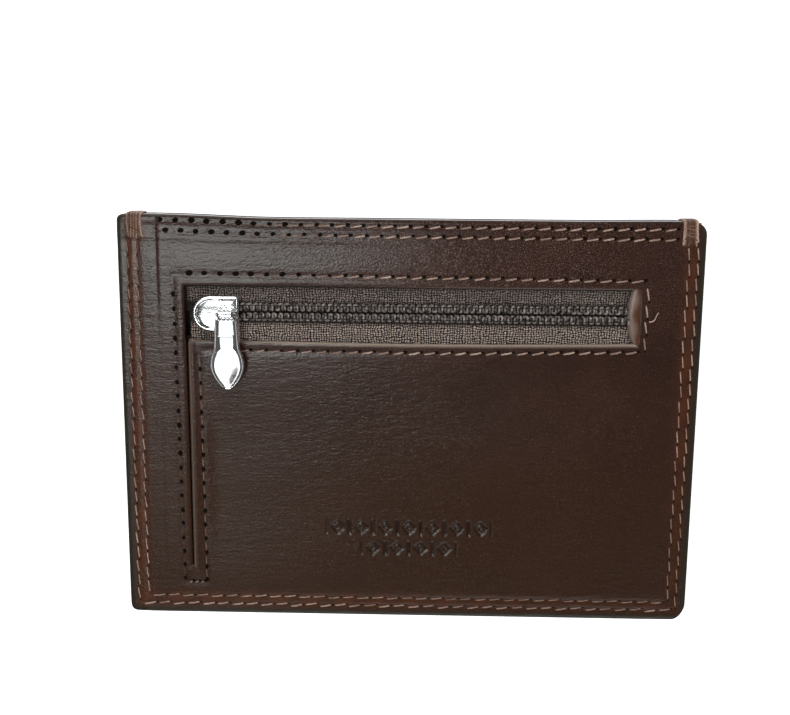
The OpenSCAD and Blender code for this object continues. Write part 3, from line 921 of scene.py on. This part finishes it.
def needle_hole(u, v, size, slant, height):
    """A needle hole: a lens let into the leather, which the painted-shade material makes dark."""
    angle = round_angles(10)
    a, b = 0.62 * size * np.cos(angle), 0.46 * size * np.sin(angle)
    ring_u = u + a * math.cos(slant) - b * math.sin(slant)
    ring_v = v + a * math.sin(slant) + b * math.cos(slant)
    z = height(ring_u, ring_v)
    middle = np.array([u, v])
    rings = []
    for share, rise in ((0.7, -0.12), (1.0, -0.02), (0.82, 0.018), (0.4, 0.03)):
        at = middle + share * (np.column_stack([ring_u, ring_v]) - middle)
        rings.append(np.column_stack([at, z + rise * face_way(height)]))
    return loft(rings)


def sew(row, height, proud, hole, slant=0.24, wander=0.0, count=None, fine=1.0):
    """The stitches and needle holes of one row. proud and hole are functions of the place."""
    first, last = (np.array(end) for end in row)
    run = last - first
    length = np.linalg.norm(run)
    n = count or round(length / STITCH)
    along = run / length
    across = np.array([along[1], -along[0]])
    gap = 0.32 if fine == 1.0 else 0.02
    threads, holes = [], []
    for k in range(n):
        side = wander * (1 if k % 2 else -1) * rng.uniform(0.5, 1.2)
        jitter = [rng.uniform(-0.1, 0.1) for _ in range(4)]
        start = (first + run * k / n + along * (gap + jitter[0])
                 - across * (slant - side + jitter[1] / 2))
        end = (first + run * (k + 1) / n - along * (0.1 + jitter[2])
               + across * (slant + side + jitter[3] / 2))
        start[1] += bow(*start)
        end[1] += bow(*end)
        middle = (start + end) / 2
        shown = proud(*middle) * rng.uniform(0.8, 1.0)
        threads.append((one_stitch(start, end, height, shown, THREAD_R * fine), middle, shown))
        size = hole(*end)
        if size > 0.2:
            tilt = math.atan2(end[1] - start[1], end[0] - start[0])
            size = size * rng.uniform(0.85, 1.15)
            holes.append((needle_hole(*(end + along * 0.04), size, tilt, height), middle, 0))
    return threads, holes


def stitched(name, parts, material, *nodes):
    """One object from many small parts, all on one body. A part is (mesh, place, proud)."""
    points, faces = joined([p for p, _, _ in parts])
    obj = piece(name, points, faces, material)
    if material is THREAD:
        # The less proud a part, the darker it is painted: painted shade for thread sunk into the leather.
        sunk = np.concatenate([np.full(len(p[0]), 1 - proud) for p, _, proud in parts])
        paint(obj, "sunk", 0.85 * sunk)
    if nodes:
        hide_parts(*nodes)
    return obj


def lit_side(u, v):
    """How proud the thread stands in rows along the zip: sunk and darkened by painted shade at the left,
    full at the right.
    """
    return -0.3 + 1.3 * float(smooth((u - 8) / 50))


def edge_proud(u, v):
    """How proud the thread stands in the rows round the edge: less at the upper left and the lower right,
    where it sits lower and its painted shade is darker."""
    upper_left = (1 - smooth(v / 75)) * (1 - smooth(u / 20))
    lower_right = smooth((u - 20) / 60) * smooth((v - 40) / 30)
    return 0.85 - float(0.55 * upper_left + 0.3 * lower_right)


def front_thread():
    """Every thread row of the front, sorted into what stays and what lifts with the flap."""
    rows = {group: [] for group in ("mouth", "frame", "flap", "outer", "inner")}
    pits, flap_pits = [], []

    def add(group, row, proud, hole, **look):
        threads, holes = sew(row, face_height, proud, hole, **look)
        rows[group].extend(threads)
        pits.extend(holes)

    def lit_hole(u, v):
        return 1.15 - 0.3 * lit_side(u, v)

    for row in MOUTH_ROWS:
        add("mouth", row, lit_side, lit_hole)
    add("frame", FRAME_TOP, lit_side, lit_hole)
    add("frame", FRAME_LEFT, always(-0.4), always(1.0), slant=0.1)
    add("frame", FRAME_RIGHT, always(1.0), always(0.5), slant=0.28)
    add("frame", FRAME_FOOT, always(0.45), always(0.8), slant=0.2, count=3)
    for row, proud, hole, slant in (
            (FRAME_BOTTOM, lambda u, v: 0.45 + 0.55 * lit_side(u, v), 0.8, 0.27),
            (SLIT_COLUMN, always(0.15), 0.85, 0.08)):
        threads, holes = sew(row, face_height, proud, always(hole), slant)
        for parts, lifted, fixed in ((threads, rows["flap"], rows["frame"]),
                                     (holes, flap_pits, pits)):
            for part in parts:
                (lifted if flap_distance([[*part[1], 0]])[0] > 0 else fixed).append(part)
    for k, group in enumerate(("outer", "inner")):
        for pair in (SIDE_ROWS, FAR_SIDE_ROWS, BOTTOM_ROWS):
            add(group, pair[k], edge_proud, always(0.38), slant=0.17, wander=0.09, fine=0.85)
    for group, node in (("mouth", "mouth_thread"), ("frame", "zip_thread"),
                        ("outer", "outer_thread"), ("inner", "inner_thread")):
        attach(stitched(group + "_stitches", rows[group], THREAD, node), "wallet")
    fold_with_flap(stitched("flap_stitches", rows["flap"], THREAD, "flap_thread"))
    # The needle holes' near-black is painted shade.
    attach(stitched("needle_holes", pits, HOLE_SHADE), "wallet")
    fold_with_flap(stitched("flap_needle_holes", flap_pits, HOLE_SHADE))


def card_side_thread(name, face, mouth, mouth_rows):
    """The rows that hold one panel of the card side. The side rows start below its mouth."""
    threads = []
    start = mouth + 5
    for (u0, v0), (u1, v1) in EDGE_ROWS:
        share = (start - v0) / (v1 - v0) if v1 > start > v0 else 0
        first = (u0 + (u1 - u0) * share, max(v0, start) if share else v0)
        threads += sew((first, (u1, v1)), face, always(0.45), always(0.0), slant=0.1)[0]
    for row in mouth_rows:
        threads += sew(row, face, always(0.45), always(0.0), slant=0.12)[0]
    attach(stitched(name, threads, THREAD), "wallet")


def bar_tack(name, node, proud):
    """Close strands over one corner of the mouth, from the front face round to the back leather.
    proud has one value for each strand."""
    left, right, _, reach, _, _ = plan_box(node)
    under = cad("back_panel")[0][2]
    strands = []
    for k, strand_proud in enumerate(proud):
        u = left + (right - left) * (k + 0.5) / len(proud)
        shift = rng.uniform(-0.18, 0.18)
        foot = reach + rng.uniform(0.0, 0.9)
        line = [(a, b, float(face_height(a, b)) + h) for a, b, h in (
            (u + shift, foot, -0.3), (u + shift, foot - 0.3, 0.12), (u, reach * 0.62, 0.15),
            (u - shift / 2, 1.2, 0.15), (u, 0.55, 0.12))]
        line += [(u, 0.12, Z_TOP - 0.8), (u, 0.1, Z_COIN), (u, 0.1, under + 0.6),
                 (u, 0.4, under - 0.08), (u, reach * 0.6, under - 0.1), (u, foot, under + 0.2)]
        ends = np.arange(len(line))
        finer = np.linspace(0, ends[-1], 41)
        fine = np.array([np.interp(finer, ends, axis) for axis in np.array(line).T]).T
        strand = tube(softened(fine, 2), TACK_R, 8, 0.9, twist=5.0, plies=3)
        strands.append((strand, (u, 2.0), strand_proud))
    t = np.linspace(0, 1, 15)
    u = left - 0.05 + (right - left + 0.1) * t
    v = 0.9
    while v < reach + 0.1:
        at = v + rng.uniform(0.25, 0.6) * t + 0.1 * np.sin(9 * t + v * 5)
        over = 0.27 - 0.3 * np.abs(2 * t - 1) ** 6 + 0.05 * np.sin(23 * t + v * 3)
        line = np.column_stack([u, at, face_height(u, at) + over])
        strands.append((tube(line, BINDING_R, 6, 0.8), (u[7], v), rng.uniform(-0.5, 0.25)))
        v += rng.uniform(0.5, 0.9)
    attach(stitched(name, strands, THREAD, node), "wallet")


def thread_tail():
    """The loose end of the zip's thread row."""
    t = np.linspace(0, 1, 14)
    u = 104.7 + 1.9 * t + 0.2 * np.sin(5 * t)
    v = 19.9 - 1.7 * t + 0.35 * np.sin(4 * t)
    z = face_height(u, v) + 0.16 + 0.35 * t * t
    part = tube(np.column_stack([u, v, z]), 0.14 - 0.05 * t, 8, 1.0, twist=6.0, plies=3)
    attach(stitched("thread_tail", [(part, (105, 19), 1.0)], THREAD), "wallet")


# --- Zip ---

TAPE_LOW, TAPE_HIGH = plan_box("upper_tape")[4:]
slider_low, slider_high = cad("zip_slider")
NOSE, TAIL = slider_low[0] - LEFT, slider_high[0] - LEFT
SLIDER_R = (slider_high[1] - slider_low[1]) / 2
COIL_W = MOUTH - ZIP_V - cad("lower_coil")[0][1]
COIL_PITCH = 1.25
COIL_LEFT = plan_box("upper_coil")[0]
COIL_GAP = 0.25  # the coils' middle lies this far above the window's
NYLON_R, SEWING_R = 0.23, 0.1  # radii of the coils' nylon and of the thread that holds them
METAL_ANGLE = 50  # the metal's sharper edges stay crisp


def cloth_strip(name, us, vs, height, thickness, material, ripple=0.0):
    """A thin closed strip of cloth over a grid."""
    u, v, faces = strip(us, vs)
    z = height(u, v) + ripple * np.sin(u * 1.3) * np.cos(v * 0.9)
    top, low = np.column_stack([u, v, z]), np.column_stack([u, v, z - thickness])
    return piece(name, np.vstack([top, low]), faces, material)


def tapes():
    """The two halves of the zip's tape. Their inner edges part round the slider's wedge."""
    left, right, top = plan_box("upper_tape")[:3]
    half = ZIP_V - top
    shares = np.concatenate([np.linspace(0, 0.25, 7), np.linspace(0.3, 1, 22)])

    def height(u, v):
        return TAPE_HIGH - 0.02 + 0.05 * bell(np.abs(v - ZIP_V) - 2.6, 0.5)

    for name, start, way, pale, nodes in (
            ("zip_tape_upper", left, -1, 0.14, ("upper_tape",)),
            ("zip_tape_lower", FLAP_LEFT + 0.1, 1, 0.7, ("lower_tape", "lower_tape_end"))):
        us = ruled([(start, 0.7), (right, 0.7)])
        vs = ZIP_V + way * (0.12 + shares * (half - 0.12))
        obj = cloth_strip(name, us, np.sort(vs), height, TAPE_HIGH - TAPE_LOW, TAPE, 0.02)
        at = np.array([p.co.x / MM - LEFT for p in obj.data.vertices])
        gap = 0.75 * smooth((at - NOSE + 0.1) / 0.8) * (1 - smooth((at - COIL_LEFT + 1.5) / 2.5))
        for point, part in zip(obj.data.vertices, gap):
            away = abs(MOUTH - point.co.y / MM - ZIP_V)
            point.co.y -= way * part * max(0.0, 1 - away / 4) * MM
        across = MOUTH - np.array([p.co.y for p in obj.data.vertices]) / MM
        under_coil = 0.92 * (1 - smooth((np.abs(across - ZIP_V) - 1.9) / 0.6))
        beside_edge = 1 - smooth((at - WINDOW_LEFT - 0.5) / 0.5)
        under_edge = 0.8 * (1 - smooth((across - WINDOW_TOP - 0.1) / 0.6))
        paint(obj, "shaded", np.maximum(np.maximum(under_coil, beside_edge), under_edge))
        paint(obj, "pale", np.full(len(at), pale))
        if way < 0:
            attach(obj, "wallet")
        else:
            fold_with_flap(obj)
        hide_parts(*nodes)


def coil_line(left, right, way, shift):
    """The centre line of one nylon coil: flat turns that cross the zip, heads to its middle."""
    t = np.arange(0, (right - left) / COIL_PITCH, 1 / 16)
    angle = 2 * np.pi * (t + shift)
    swing = np.sign(np.cos(angle)) * np.abs(np.cos(angle)) ** 0.4
    rise = np.sign(np.sin(angle)) * np.abs(np.sin(angle)) ** 0.75
    half = (COIL_W - 0.6) / 2
    u = left + COIL_PITCH * t + 0.16 * np.sin(2 * angle)
    v = ZIP_V - COIL_GAP - way * (0.38 + half - half * swing)
    return np.column_stack([u, v, Z_FRONT + 0.55 + 0.36 * rise])


def coils():
    """Both coils, with the thread that holds each of them on its tape."""
    u = np.arange(COIL_LEFT + 0.2, ZIP_END + 0.4, COIL_PITCH / 8)
    turn = 2 * np.pi * (u - COIL_LEFT - 0.1) / COIL_PITCH
    for name, way, shift, nodes in (("upper", 1, 0.0, ("upper_coil",)),
                                    ("lower", -1, 0.5, ("lower_coil", "lower_coil_end"))):
        line = coil_line(COIL_LEFT + 0.1, ZIP_END + 0.6, way, shift)
        obj = piece("zip_coil_" + name, *tube(line, NYLON_R, 8), COIL, settle=False)
        z = Z_FRONT + 0.94 + 0.14 * np.cos(turn + (0 if way > 0 else np.pi) - np.pi / 2)
        line = np.column_stack([u, np.full(len(u), ZIP_V - COIL_GAP - way * 1.3), z])
        sewing = piece("zip_coil_thread_" + name, *tube(line, SEWING_R, 6), TAPE, settle=False)
        paint(sewing, "shaded", np.full(len(sewing.data.vertices), 0.6))
        for made in (obj, sewing):
            if way > 0:
                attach(made, "wallet")
            else:
                fold_with_flap(made)
        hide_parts(*nodes)


def slider_outline():
    """Slider's outline from above: a round nose at the left, a square tail with small corners."""
    r, corner = SLIDER_R, 0.6
    angle = np.linspace(np.pi / 2, 3 * np.pi / 2, 28)
    points = np.column_stack([NOSE + r + r * np.cos(angle), ZIP_V - r * np.sin(angle)]).tolist()
    for centre_v, start in ((ZIP_V + r - corner, -np.pi / 2), (ZIP_V - r + corner, 0.0)):
        for a in np.linspace(start, start + np.pi / 2, 7):
            points.append([TAIL - corner + corner * np.cos(a), centre_v - corner * np.sin(a)])
    outline = np.array(points)
    dense = []
    for p, q in zip(outline, np.roll(outline, -1, axis=0)):
        n = max(1, int(np.linalg.norm(q - p) / 0.45))
        dense += [p + (q - p) * k / n for k in range(n)]
    return np.array(dense)


def rounded_box(centre, size, r):
    """A box with bevelled edges, from its centre, its sides and its corner radius."""
    half = np.array(size) / 2
    outline = []
    for k, (su, sv) in enumerate(((1, 1), (-1, 1), (-1, -1), (1, -1))):
        for a in np.linspace(k * np.pi / 2, (k + 1) * np.pi / 2, 5):
            outline.append([centre[0] + su * (half[0] - r) + r * np.cos(a),
                            centre[1] + sv * (half[1] - r) + r * np.sin(a)])
    low, high = centre[2] - half[2], centre[2] + half[2]
    return inset_loft(np.array(outline), [
        (r * 0.9, low), (r * 0.3, low + r * 0.2), (0, low + r),
        (0, high - r), (r * 0.3, high - r * 0.2), (r * 0.9, high)])


def metal(name, points, faces, body, node):
    """A metal piece of the zip."""
    obj = piece(name, points, faces, METAL, settle=False, flat_angle=METAL_ANGLE)
    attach(obj, body)
    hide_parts(node)


def slider():
    """Slider body: two plates on a wedge, side flanges, and a raised rim round a dished top."""
    outline = slider_outline()
    bottom, high = slider_low[2], slider_high[2]
    plate_low = high - 1.1
    top_plate = inset_loft(outline, [
        (0.35, plate_low), (0.1, plate_low + 0.06), (0, plate_low + 0.2), (0, high - 0.35),
        (0.08, high - 0.12), (0.28, high), (0.5, high), (0.68, high - 0.12), (0.8, high - 0.36),
        (1.1, high - 0.44), (2.0, high - 0.5), (2.9, high - 0.52)])
    low_plate = inset_loft(outline, [
        (0.4, bottom), (0.1, bottom + 0.08), (0, bottom + 0.25), (0, bottom + 0.5),
        (0.08, bottom + 0.66), (0.3, bottom + 0.7)])
    flange_low, flange_high = Z_FRONT + 0.15, plate_low + 0.3
    flange_l, flange_w = TAIL - NOSE - SLIDER_R, 0.8
    flanges = [rounded_box(
        (TAIL - flange_l / 2, ZIP_V + way * (SLIDER_R - flange_w / 2),
         (flange_low + flange_high) / 2),
        (flange_l, flange_w, flange_high - flange_low), 0.18) for way in (-1, 1)]
    wedge_plan = ((0.7, 0), (1.5, -0.55), (2.4, 0), (1.5, 0.55))
    wedge = loft([np.array([(NOSE + u, ZIP_V + v, z) for u, v in wedge_plan])
                  for z in (bottom + 0.4, flange_high)])
    metal("slider_body", *joined([top_plate, low_plate, *flanges, wedge]), "slider", "zip_slider")


def bridge():
    """The bridge: a bent rod that stands on the slider, along the zip."""
    low, high = cad("slider_bridge")
    left, right = low[0] - LEFT, high[0] - LEFT
    r = (high[1] - low[1]) / 2
    centre_v, centre_z = bar_point[1], bar_point[2]
    foot = low[2] - 0.1
    bend = 0.75
    turn = np.linspace(np.pi, np.pi / 2, 8)
    line = [(left + r, z) for z in np.linspace(foot, centre_z - bend, 6)]
    for middle, angles in ((left + r + bend, turn[1:]), (right - r - bend, turn[::-1] - np.pi / 2)):
        line += [(middle + bend * math.cos(a), centre_z - bend + bend * math.sin(a))
                 for a in angles]
    line += [(right - r, z) for z in np.linspace(centre_z - bend, foot, 6)[1:]]
    line = np.array([(u, centre_v, z) for u, z in line])
    side = np.array([0.0, 1.0, 0.0])
    lift = np.cross(unit(np.gradient(line, axis=0)), side)
    angle = round_angles(16)
    loops = [p + r * (np.cos(angle)[:, None] * side + np.sin(angle)[:, None] * up)
             for p, up in zip(line, lift)]
    metal("slider_bridge_rod", *loft(loops), "slider", "slider_bridge")


PULL_SLOPE = math.radians(4)
EYE_R, EYE_BORE, EYE_L = 1.2, 0.61, 3.2  # the eye round the bar: radius, radius of its bore, length
PULL_TIP = 15.3  # distance from the bar to the pull's tip
# (distance from the bar, half width) along the pull, as far as the drop's rounded end
PULL_OUTLINE = [(0.8, 2.3), (2.0, 2.4), (4.3, 2.5), (7.0, 2.7), (7.9, 3.12), (9.2, 3.45),
                (10.4, 3.53)]


def pull_half_width(s):
    """Half the pull tab's width at a distance s from the bar. The drop's tip is rounded."""
    drop = PULL_OUTLINE[-1][0]
    tip = np.clip((s - drop) / (PULL_TIP - drop), 0, 1)
    return np.interp(s, *zip(*PULL_OUTLINE)) * (1 - tip ** 1.6) ** 0.7


def pull():
    """Pull tab: a drop-shaped plate with a raised rim, a panel sunk in its neck, and the eye."""
    tip_r = 0.9
    s = np.concatenate([np.linspace(PULL_OUTLINE[0][0], PULL_TIP - tip_r, 70),
                        PULL_TIP - tip_r * np.cos(np.linspace(0.1, np.pi / 2, 12))])
    half = softened(pull_half_width(s), 4)
    half[-1] = 0.12
    share = np.concatenate([[1, 0.985, 0.95, 0.9, 0.84, 0.78, 0.7], np.linspace(0.6, 0, 7)])
    share = np.concatenate([-share, share[-2::-1]])
    along, across, faces = strip(s, share)
    half = np.repeat(half, len(share))
    across = across * half
    inside = np.minimum(half - np.abs(across), np.minimum(s[-1] - along, 3.0))
    rim = 0.16 * bell(inside - 0.42, 0.26)
    sunk = (smooth((1.75 - np.abs(across)) / 0.3) * smooth((along - 4.0) / 0.3)
            * smooth((7.3 - along) / 0.3))
    border = bell(np.maximum(inside, 0), 0.12)
    top = (0.52 - 0.5 * border + rim - 0.14 * sunk
           + 0.1 * smooth((along - 8) / 3) * smooth(inside / 3))
    low = -0.15 + 0.17 * border
    plate = (np.vstack([np.column_stack([across, along, z]) for z in (top, low)]), faces)
    end = EYE_L / 2
    profile = [(-end, EYE_BORE), (-end, EYE_R - 0.12), (-end + 0.12, EYE_R)]
    for groove in (-0.85, 0.0, 0.85):
        profile += [(groove - 0.2, EYE_R), (groove - 0.1, EYE_R - 0.22),
                    (groove + 0.1, EYE_R - 0.22), (groove + 0.2, EYE_R)]
    profile += [(end - 0.12, EYE_R), (end, EYE_R - 0.12), (end, EYE_BORE)]
    angle = round_angles(40)
    loops = [np.column_stack([np.full(40, x), r * np.cos(angle), r * np.sin(angle)])
             for x, r in profile]
    rings = numbered_rings(40, len(loops))
    points, faces = joined([plate, (np.vstack(loops), ring_faces([*rings, rings[0]]))])
    c, d = math.cos(PULL_SLOPE), math.sin(PULL_SLOPE)
    slope = np.array([[1, 0, 0], [0, c, d], [0, -d, c]])
    metal("pull_tab_drop", points @ slope.T + bar_point, faces, "pull", "pull_tab")


def end_tab():
    """The leather tab over the zip's end: a swelling crescent."""
    right = WINDOW_RIGHT + 0.3
    u, v, faces = strip(ruled([(ZIP_END, 0.25), (right, 0.25)]),
                        ruled([(WINDOW_TOP - 0.2, 0.35), (WINDOW_BOTTOM + 0.3, 0.35)]))
    half = (WINDOW_BOTTOM - WINDOW_TOP) / 2
    crescent = np.sqrt(np.clip(1 - ((v - ZIP_V + 0.4) / (half + 0.9)) ** 2, 0.02, 1))
    front = WINDOW_RIGHT - (WINDOW_RIGHT - ZIP_END) * crescent
    share = (u - ZIP_END) / (right - ZIP_END)
    u = front + share * (right - front)
    z = Z_FRONT + 0.45 + 0.75 * np.sqrt(np.clip(share * (1.25 - share) / 0.39, 0, 1))
    points = np.vstack([np.column_stack([u, v, z]),
                        np.column_stack([u + 0.1, v, np.full(len(u), Z_FRONT + 0.02)])])
    obj = piece("end_tab", points, faces, TAB_LEATHER)
    rust = 0.15 + 0.85 * smooth(share * 1.5 - 0.35 + 0.25 * np.sin(v * 1.1))
    paint(obj, "seam", np.tile(rust, 2))
    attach(obj, "wallet")
    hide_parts("zip_end_tab")


# --- Gusset and linings ---


def gusset():
    """The folded strip behind the slit. As the flap lifts, its pleats draw out into a wall."""
    fold_u, end_u, _, _, low_z, _ = plan_box("coin_gusset")
    ply = 0.3
    upper_z, lower_z = Z_FRONT - ply / 2 - 0.06, low_z + ply / 2
    bend = (upper_z - lower_z) / 2
    bend_u = fold_u + bend + ply
    # (u, z, share of the flap's lift) along the strip
    path = [(u, upper_z, 0.0) for u in np.linspace(WINDOW_LEFT - 0.3, bend_u, 8)]
    path += [(bend_u + bend * math.cos(a), (upper_z + lower_z) / 2 + bend * math.sin(a), 0.0)
             for a in np.linspace(np.pi / 2, 3 * np.pi / 2, 9)[1:-1]]
    path += [(u, lower_z, 0.0) for u in np.linspace(bend_u, WINDOW_LEFT + 0.08, 7)]
    path += [(WINDOW_LEFT + 0.1 + 0.62 * t, lower_z + 0.03 * math.sin(12 * t), t)
             for t in np.linspace(0.02, 1, 24)]
    path += [(u, lower_z, 1.0) for u in np.linspace(WINDOW_LEFT + 0.9, end_u, 6)]
    path = np.array(path)
    vs = ruled([(WINDOW_BOTTOM - 0.5, 0.8), (SLIT_END, 0.8)])
    along = unit(np.gradient(path[:, :2], axis=0))
    n_u, n_z = -along[:, 1], along[:, 0]
    sides = []
    for way in (0.5, -0.5):
        u, v, faces = strip(path[:, 0] + way * ply * n_u, vs)
        sides.append(np.column_stack([u, v, np.repeat(path[:, 1] + way * ply * n_z, len(vs))]))
    obj = piece("gusset", np.vstack(sides), faces, LEATHER)
    fold_with_flap(obj, np.tile(np.repeat(smooth(path[:, 2]), len(vs)), 2))
    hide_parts("coin_gusset")


def front_lining():
    """Lining behind the front leather, below the zip's tape. It bends with the flap."""
    _, right, _, bottom, _, _ = plan_box("front_lining")
    us = ruled([(FLAP_LEFT + 0.1, 0.9), (right, 0.9)])
    vs = ruled([(plan_box("flap_lining")[2], 0.9), (bottom, 0.9)])
    obj = cloth_strip("front_lining_cloth", us, vs, level(Z_FRONT - 0.02), 0.15, LINING)
    fold_with_flap(obj)
    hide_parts("front_lining", "flap_lining")


def back_lining(node):
    """A lining over the whole wallet."""
    left, right, top, bottom, under, over = plan_box(node)
    box = (left + 0.2, right - 0.2, top + 0.2, bottom - 0.2)
    us = ruled([(box[0], 0.3), (box[0] + 0.9, 2.0), (box[1] - 2.0, 0.4), (box[1], 0.4)])
    vs = ruled([(box[2], 0.3), (box[2] + 0.9, 2.0), (box[3] - 0.9, 0.3), (box[3], 0.3)])
    obj, _ = panel(node + "_cloth", us, vs, box, (0.9, 2.0), level(over), level(under),
                   lambda u, v, z, outline: [(0.1, over - 0.05), (0.1, under + 0.05)], LINING)
    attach(obj, "wallet")
    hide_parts(node)


# --- Stage ---


def stage():
    """A pale floor, and a dome of the same tone behind it that only the camera sees."""
    reach = 3.0
    floor_mesh = bpy.data.meshes.new("floor")
    corners = [(-reach, -reach, 0), (reach, -reach, 0), (reach, reach, 0), (-reach, reach, 0)]
    floor_mesh.from_pydata(corners, [], [(0, 1, 2, 3)])
    around = round_angles(64)
    dome = [(2.9, -0.01), (2.9, 0.6), (2.8, 1.2), (2.5, 1.9), (2.0, 2.5), (1.3, 2.9), (0.6, 3.1)]
    loops = [np.column_stack([r * np.cos(around), r * np.sin(around), np.full(64, z)])
             for r, z in dome]
    rings = numbered_rings(64, len(loops))
    dome_mesh = bpy.data.meshes.new("backdrop")
    dome_mesh.from_pydata(np.vstack(loops).tolist(), [], [*ring_faces(rings), rings[-1].tolist()])
    floor, backdrop = link("floor", floor_mesh), link("backdrop", dome_mesh)
    backdrop.visible_diffuse = backdrop.visible_glossy = backdrop.visible_shadow = False
    m = Nodes("pale_floor", Specular_IOR_Level=0.1, Emission_Color=(1, 1, 1, 1),
              Emission_Strength=0.8)
    pale = m.finish(m.mix(m.noise(9.0), (0.92, 0.92, 0.92), (0.95, 0.95, 0.95)), 0.9)
    floor_mesh.materials.append(pale)
    dome_mesh.materials.append(pale)
    world = bpy.data.worlds.new("studio")
    bpy.context.scene.world = world
    world.use_nodes = True
    back = world.node_tree.nodes["Background"]
    back.inputs["Color"].default_value = (1, 1, 1, 1)
    back.inputs["Strength"].default_value = 0.08


def light(name, place, target, size, radiance, tint=(1, 1, 1), glossy=True):
    """A softbox of an even radiance, seen only by what it lights."""
    data = bpy.data.lights.new(name, "AREA")
    data.shape = "RECTANGLE"
    data.size, data.size_y = size
    data.energy = radiance * math.pi * size[0] * size[1]
    data.color = tint
    obj = link(name, data)
    obj.location = place
    obj.rotation_euler = (Vector(target) - Vector(place)).to_track_quat("-Z", "Y").to_euler()
    obj.visible_camera = False
    obj.visible_glossy = glossy


def lights():
    """The window at the left that the leather mirrors, and soft fills all round."""
    light("window_light", (-0.107, 0.027, 0.36), (-0.046, 0.027, 0), (0.103, 0.123), 10.7,
          tint=(0.94, 1.0, 0.98))
    light("low_window_light", (-0.106, -0.110, 0.34), (-0.040, 0.005, 0), (0.075, 0.10), 1.4)
    light("right_fill", (0.45, 0.1, 0.40), (0.02, 0, 0), (0.35, 0.35), 4.3, glossy=False)
    light("near_fill", (0.05, -0.50, 0.40), (0, 0, 0), (0.45, 0.3), 1.8)
    light("far_fill", (-0.25, 0.50, 0.34), (0, 0, 0), (0.4, 0.25), 4.0)


# --- The wallet ---

stage()
lights()
front_leather()
back_leather("back_leather", "back_panel", "back_hem", 0.12)
back_leather("inner_card_pocket", "card_pocket_inner", "inner_pocket_hem", 0.12)
back_leather("outer_card_pocket", "card_pocket_outer", "outer_pocket_hem", 0.3)
for cloth in ("coin_back_lining", "note_front_lining", "note_back_lining"):
    back_lining(cloth)
front_lining()
gusset()
tapes()
coils()
end_tab()
slider()
bridge()
pull()
front_thread()
bar_tack("bar_tack_left_strands", "bar_tack_left",
         (0.6, 0.0, -0.2, 0.4, -0.2, 0.3, -0.1, 0.5, -0.2, 0.1, 0.7))
bar_tack("bar_tack_right_strands", "bar_tack_right",
         (0.9, 0.5, -0.1, -0.2, 0.0, -0.2, -0.1, -0.2, 0.0, 0.5, 1.0))
thread_tail()

bpy.context.scene.view_settings.view_transform = "Standard"
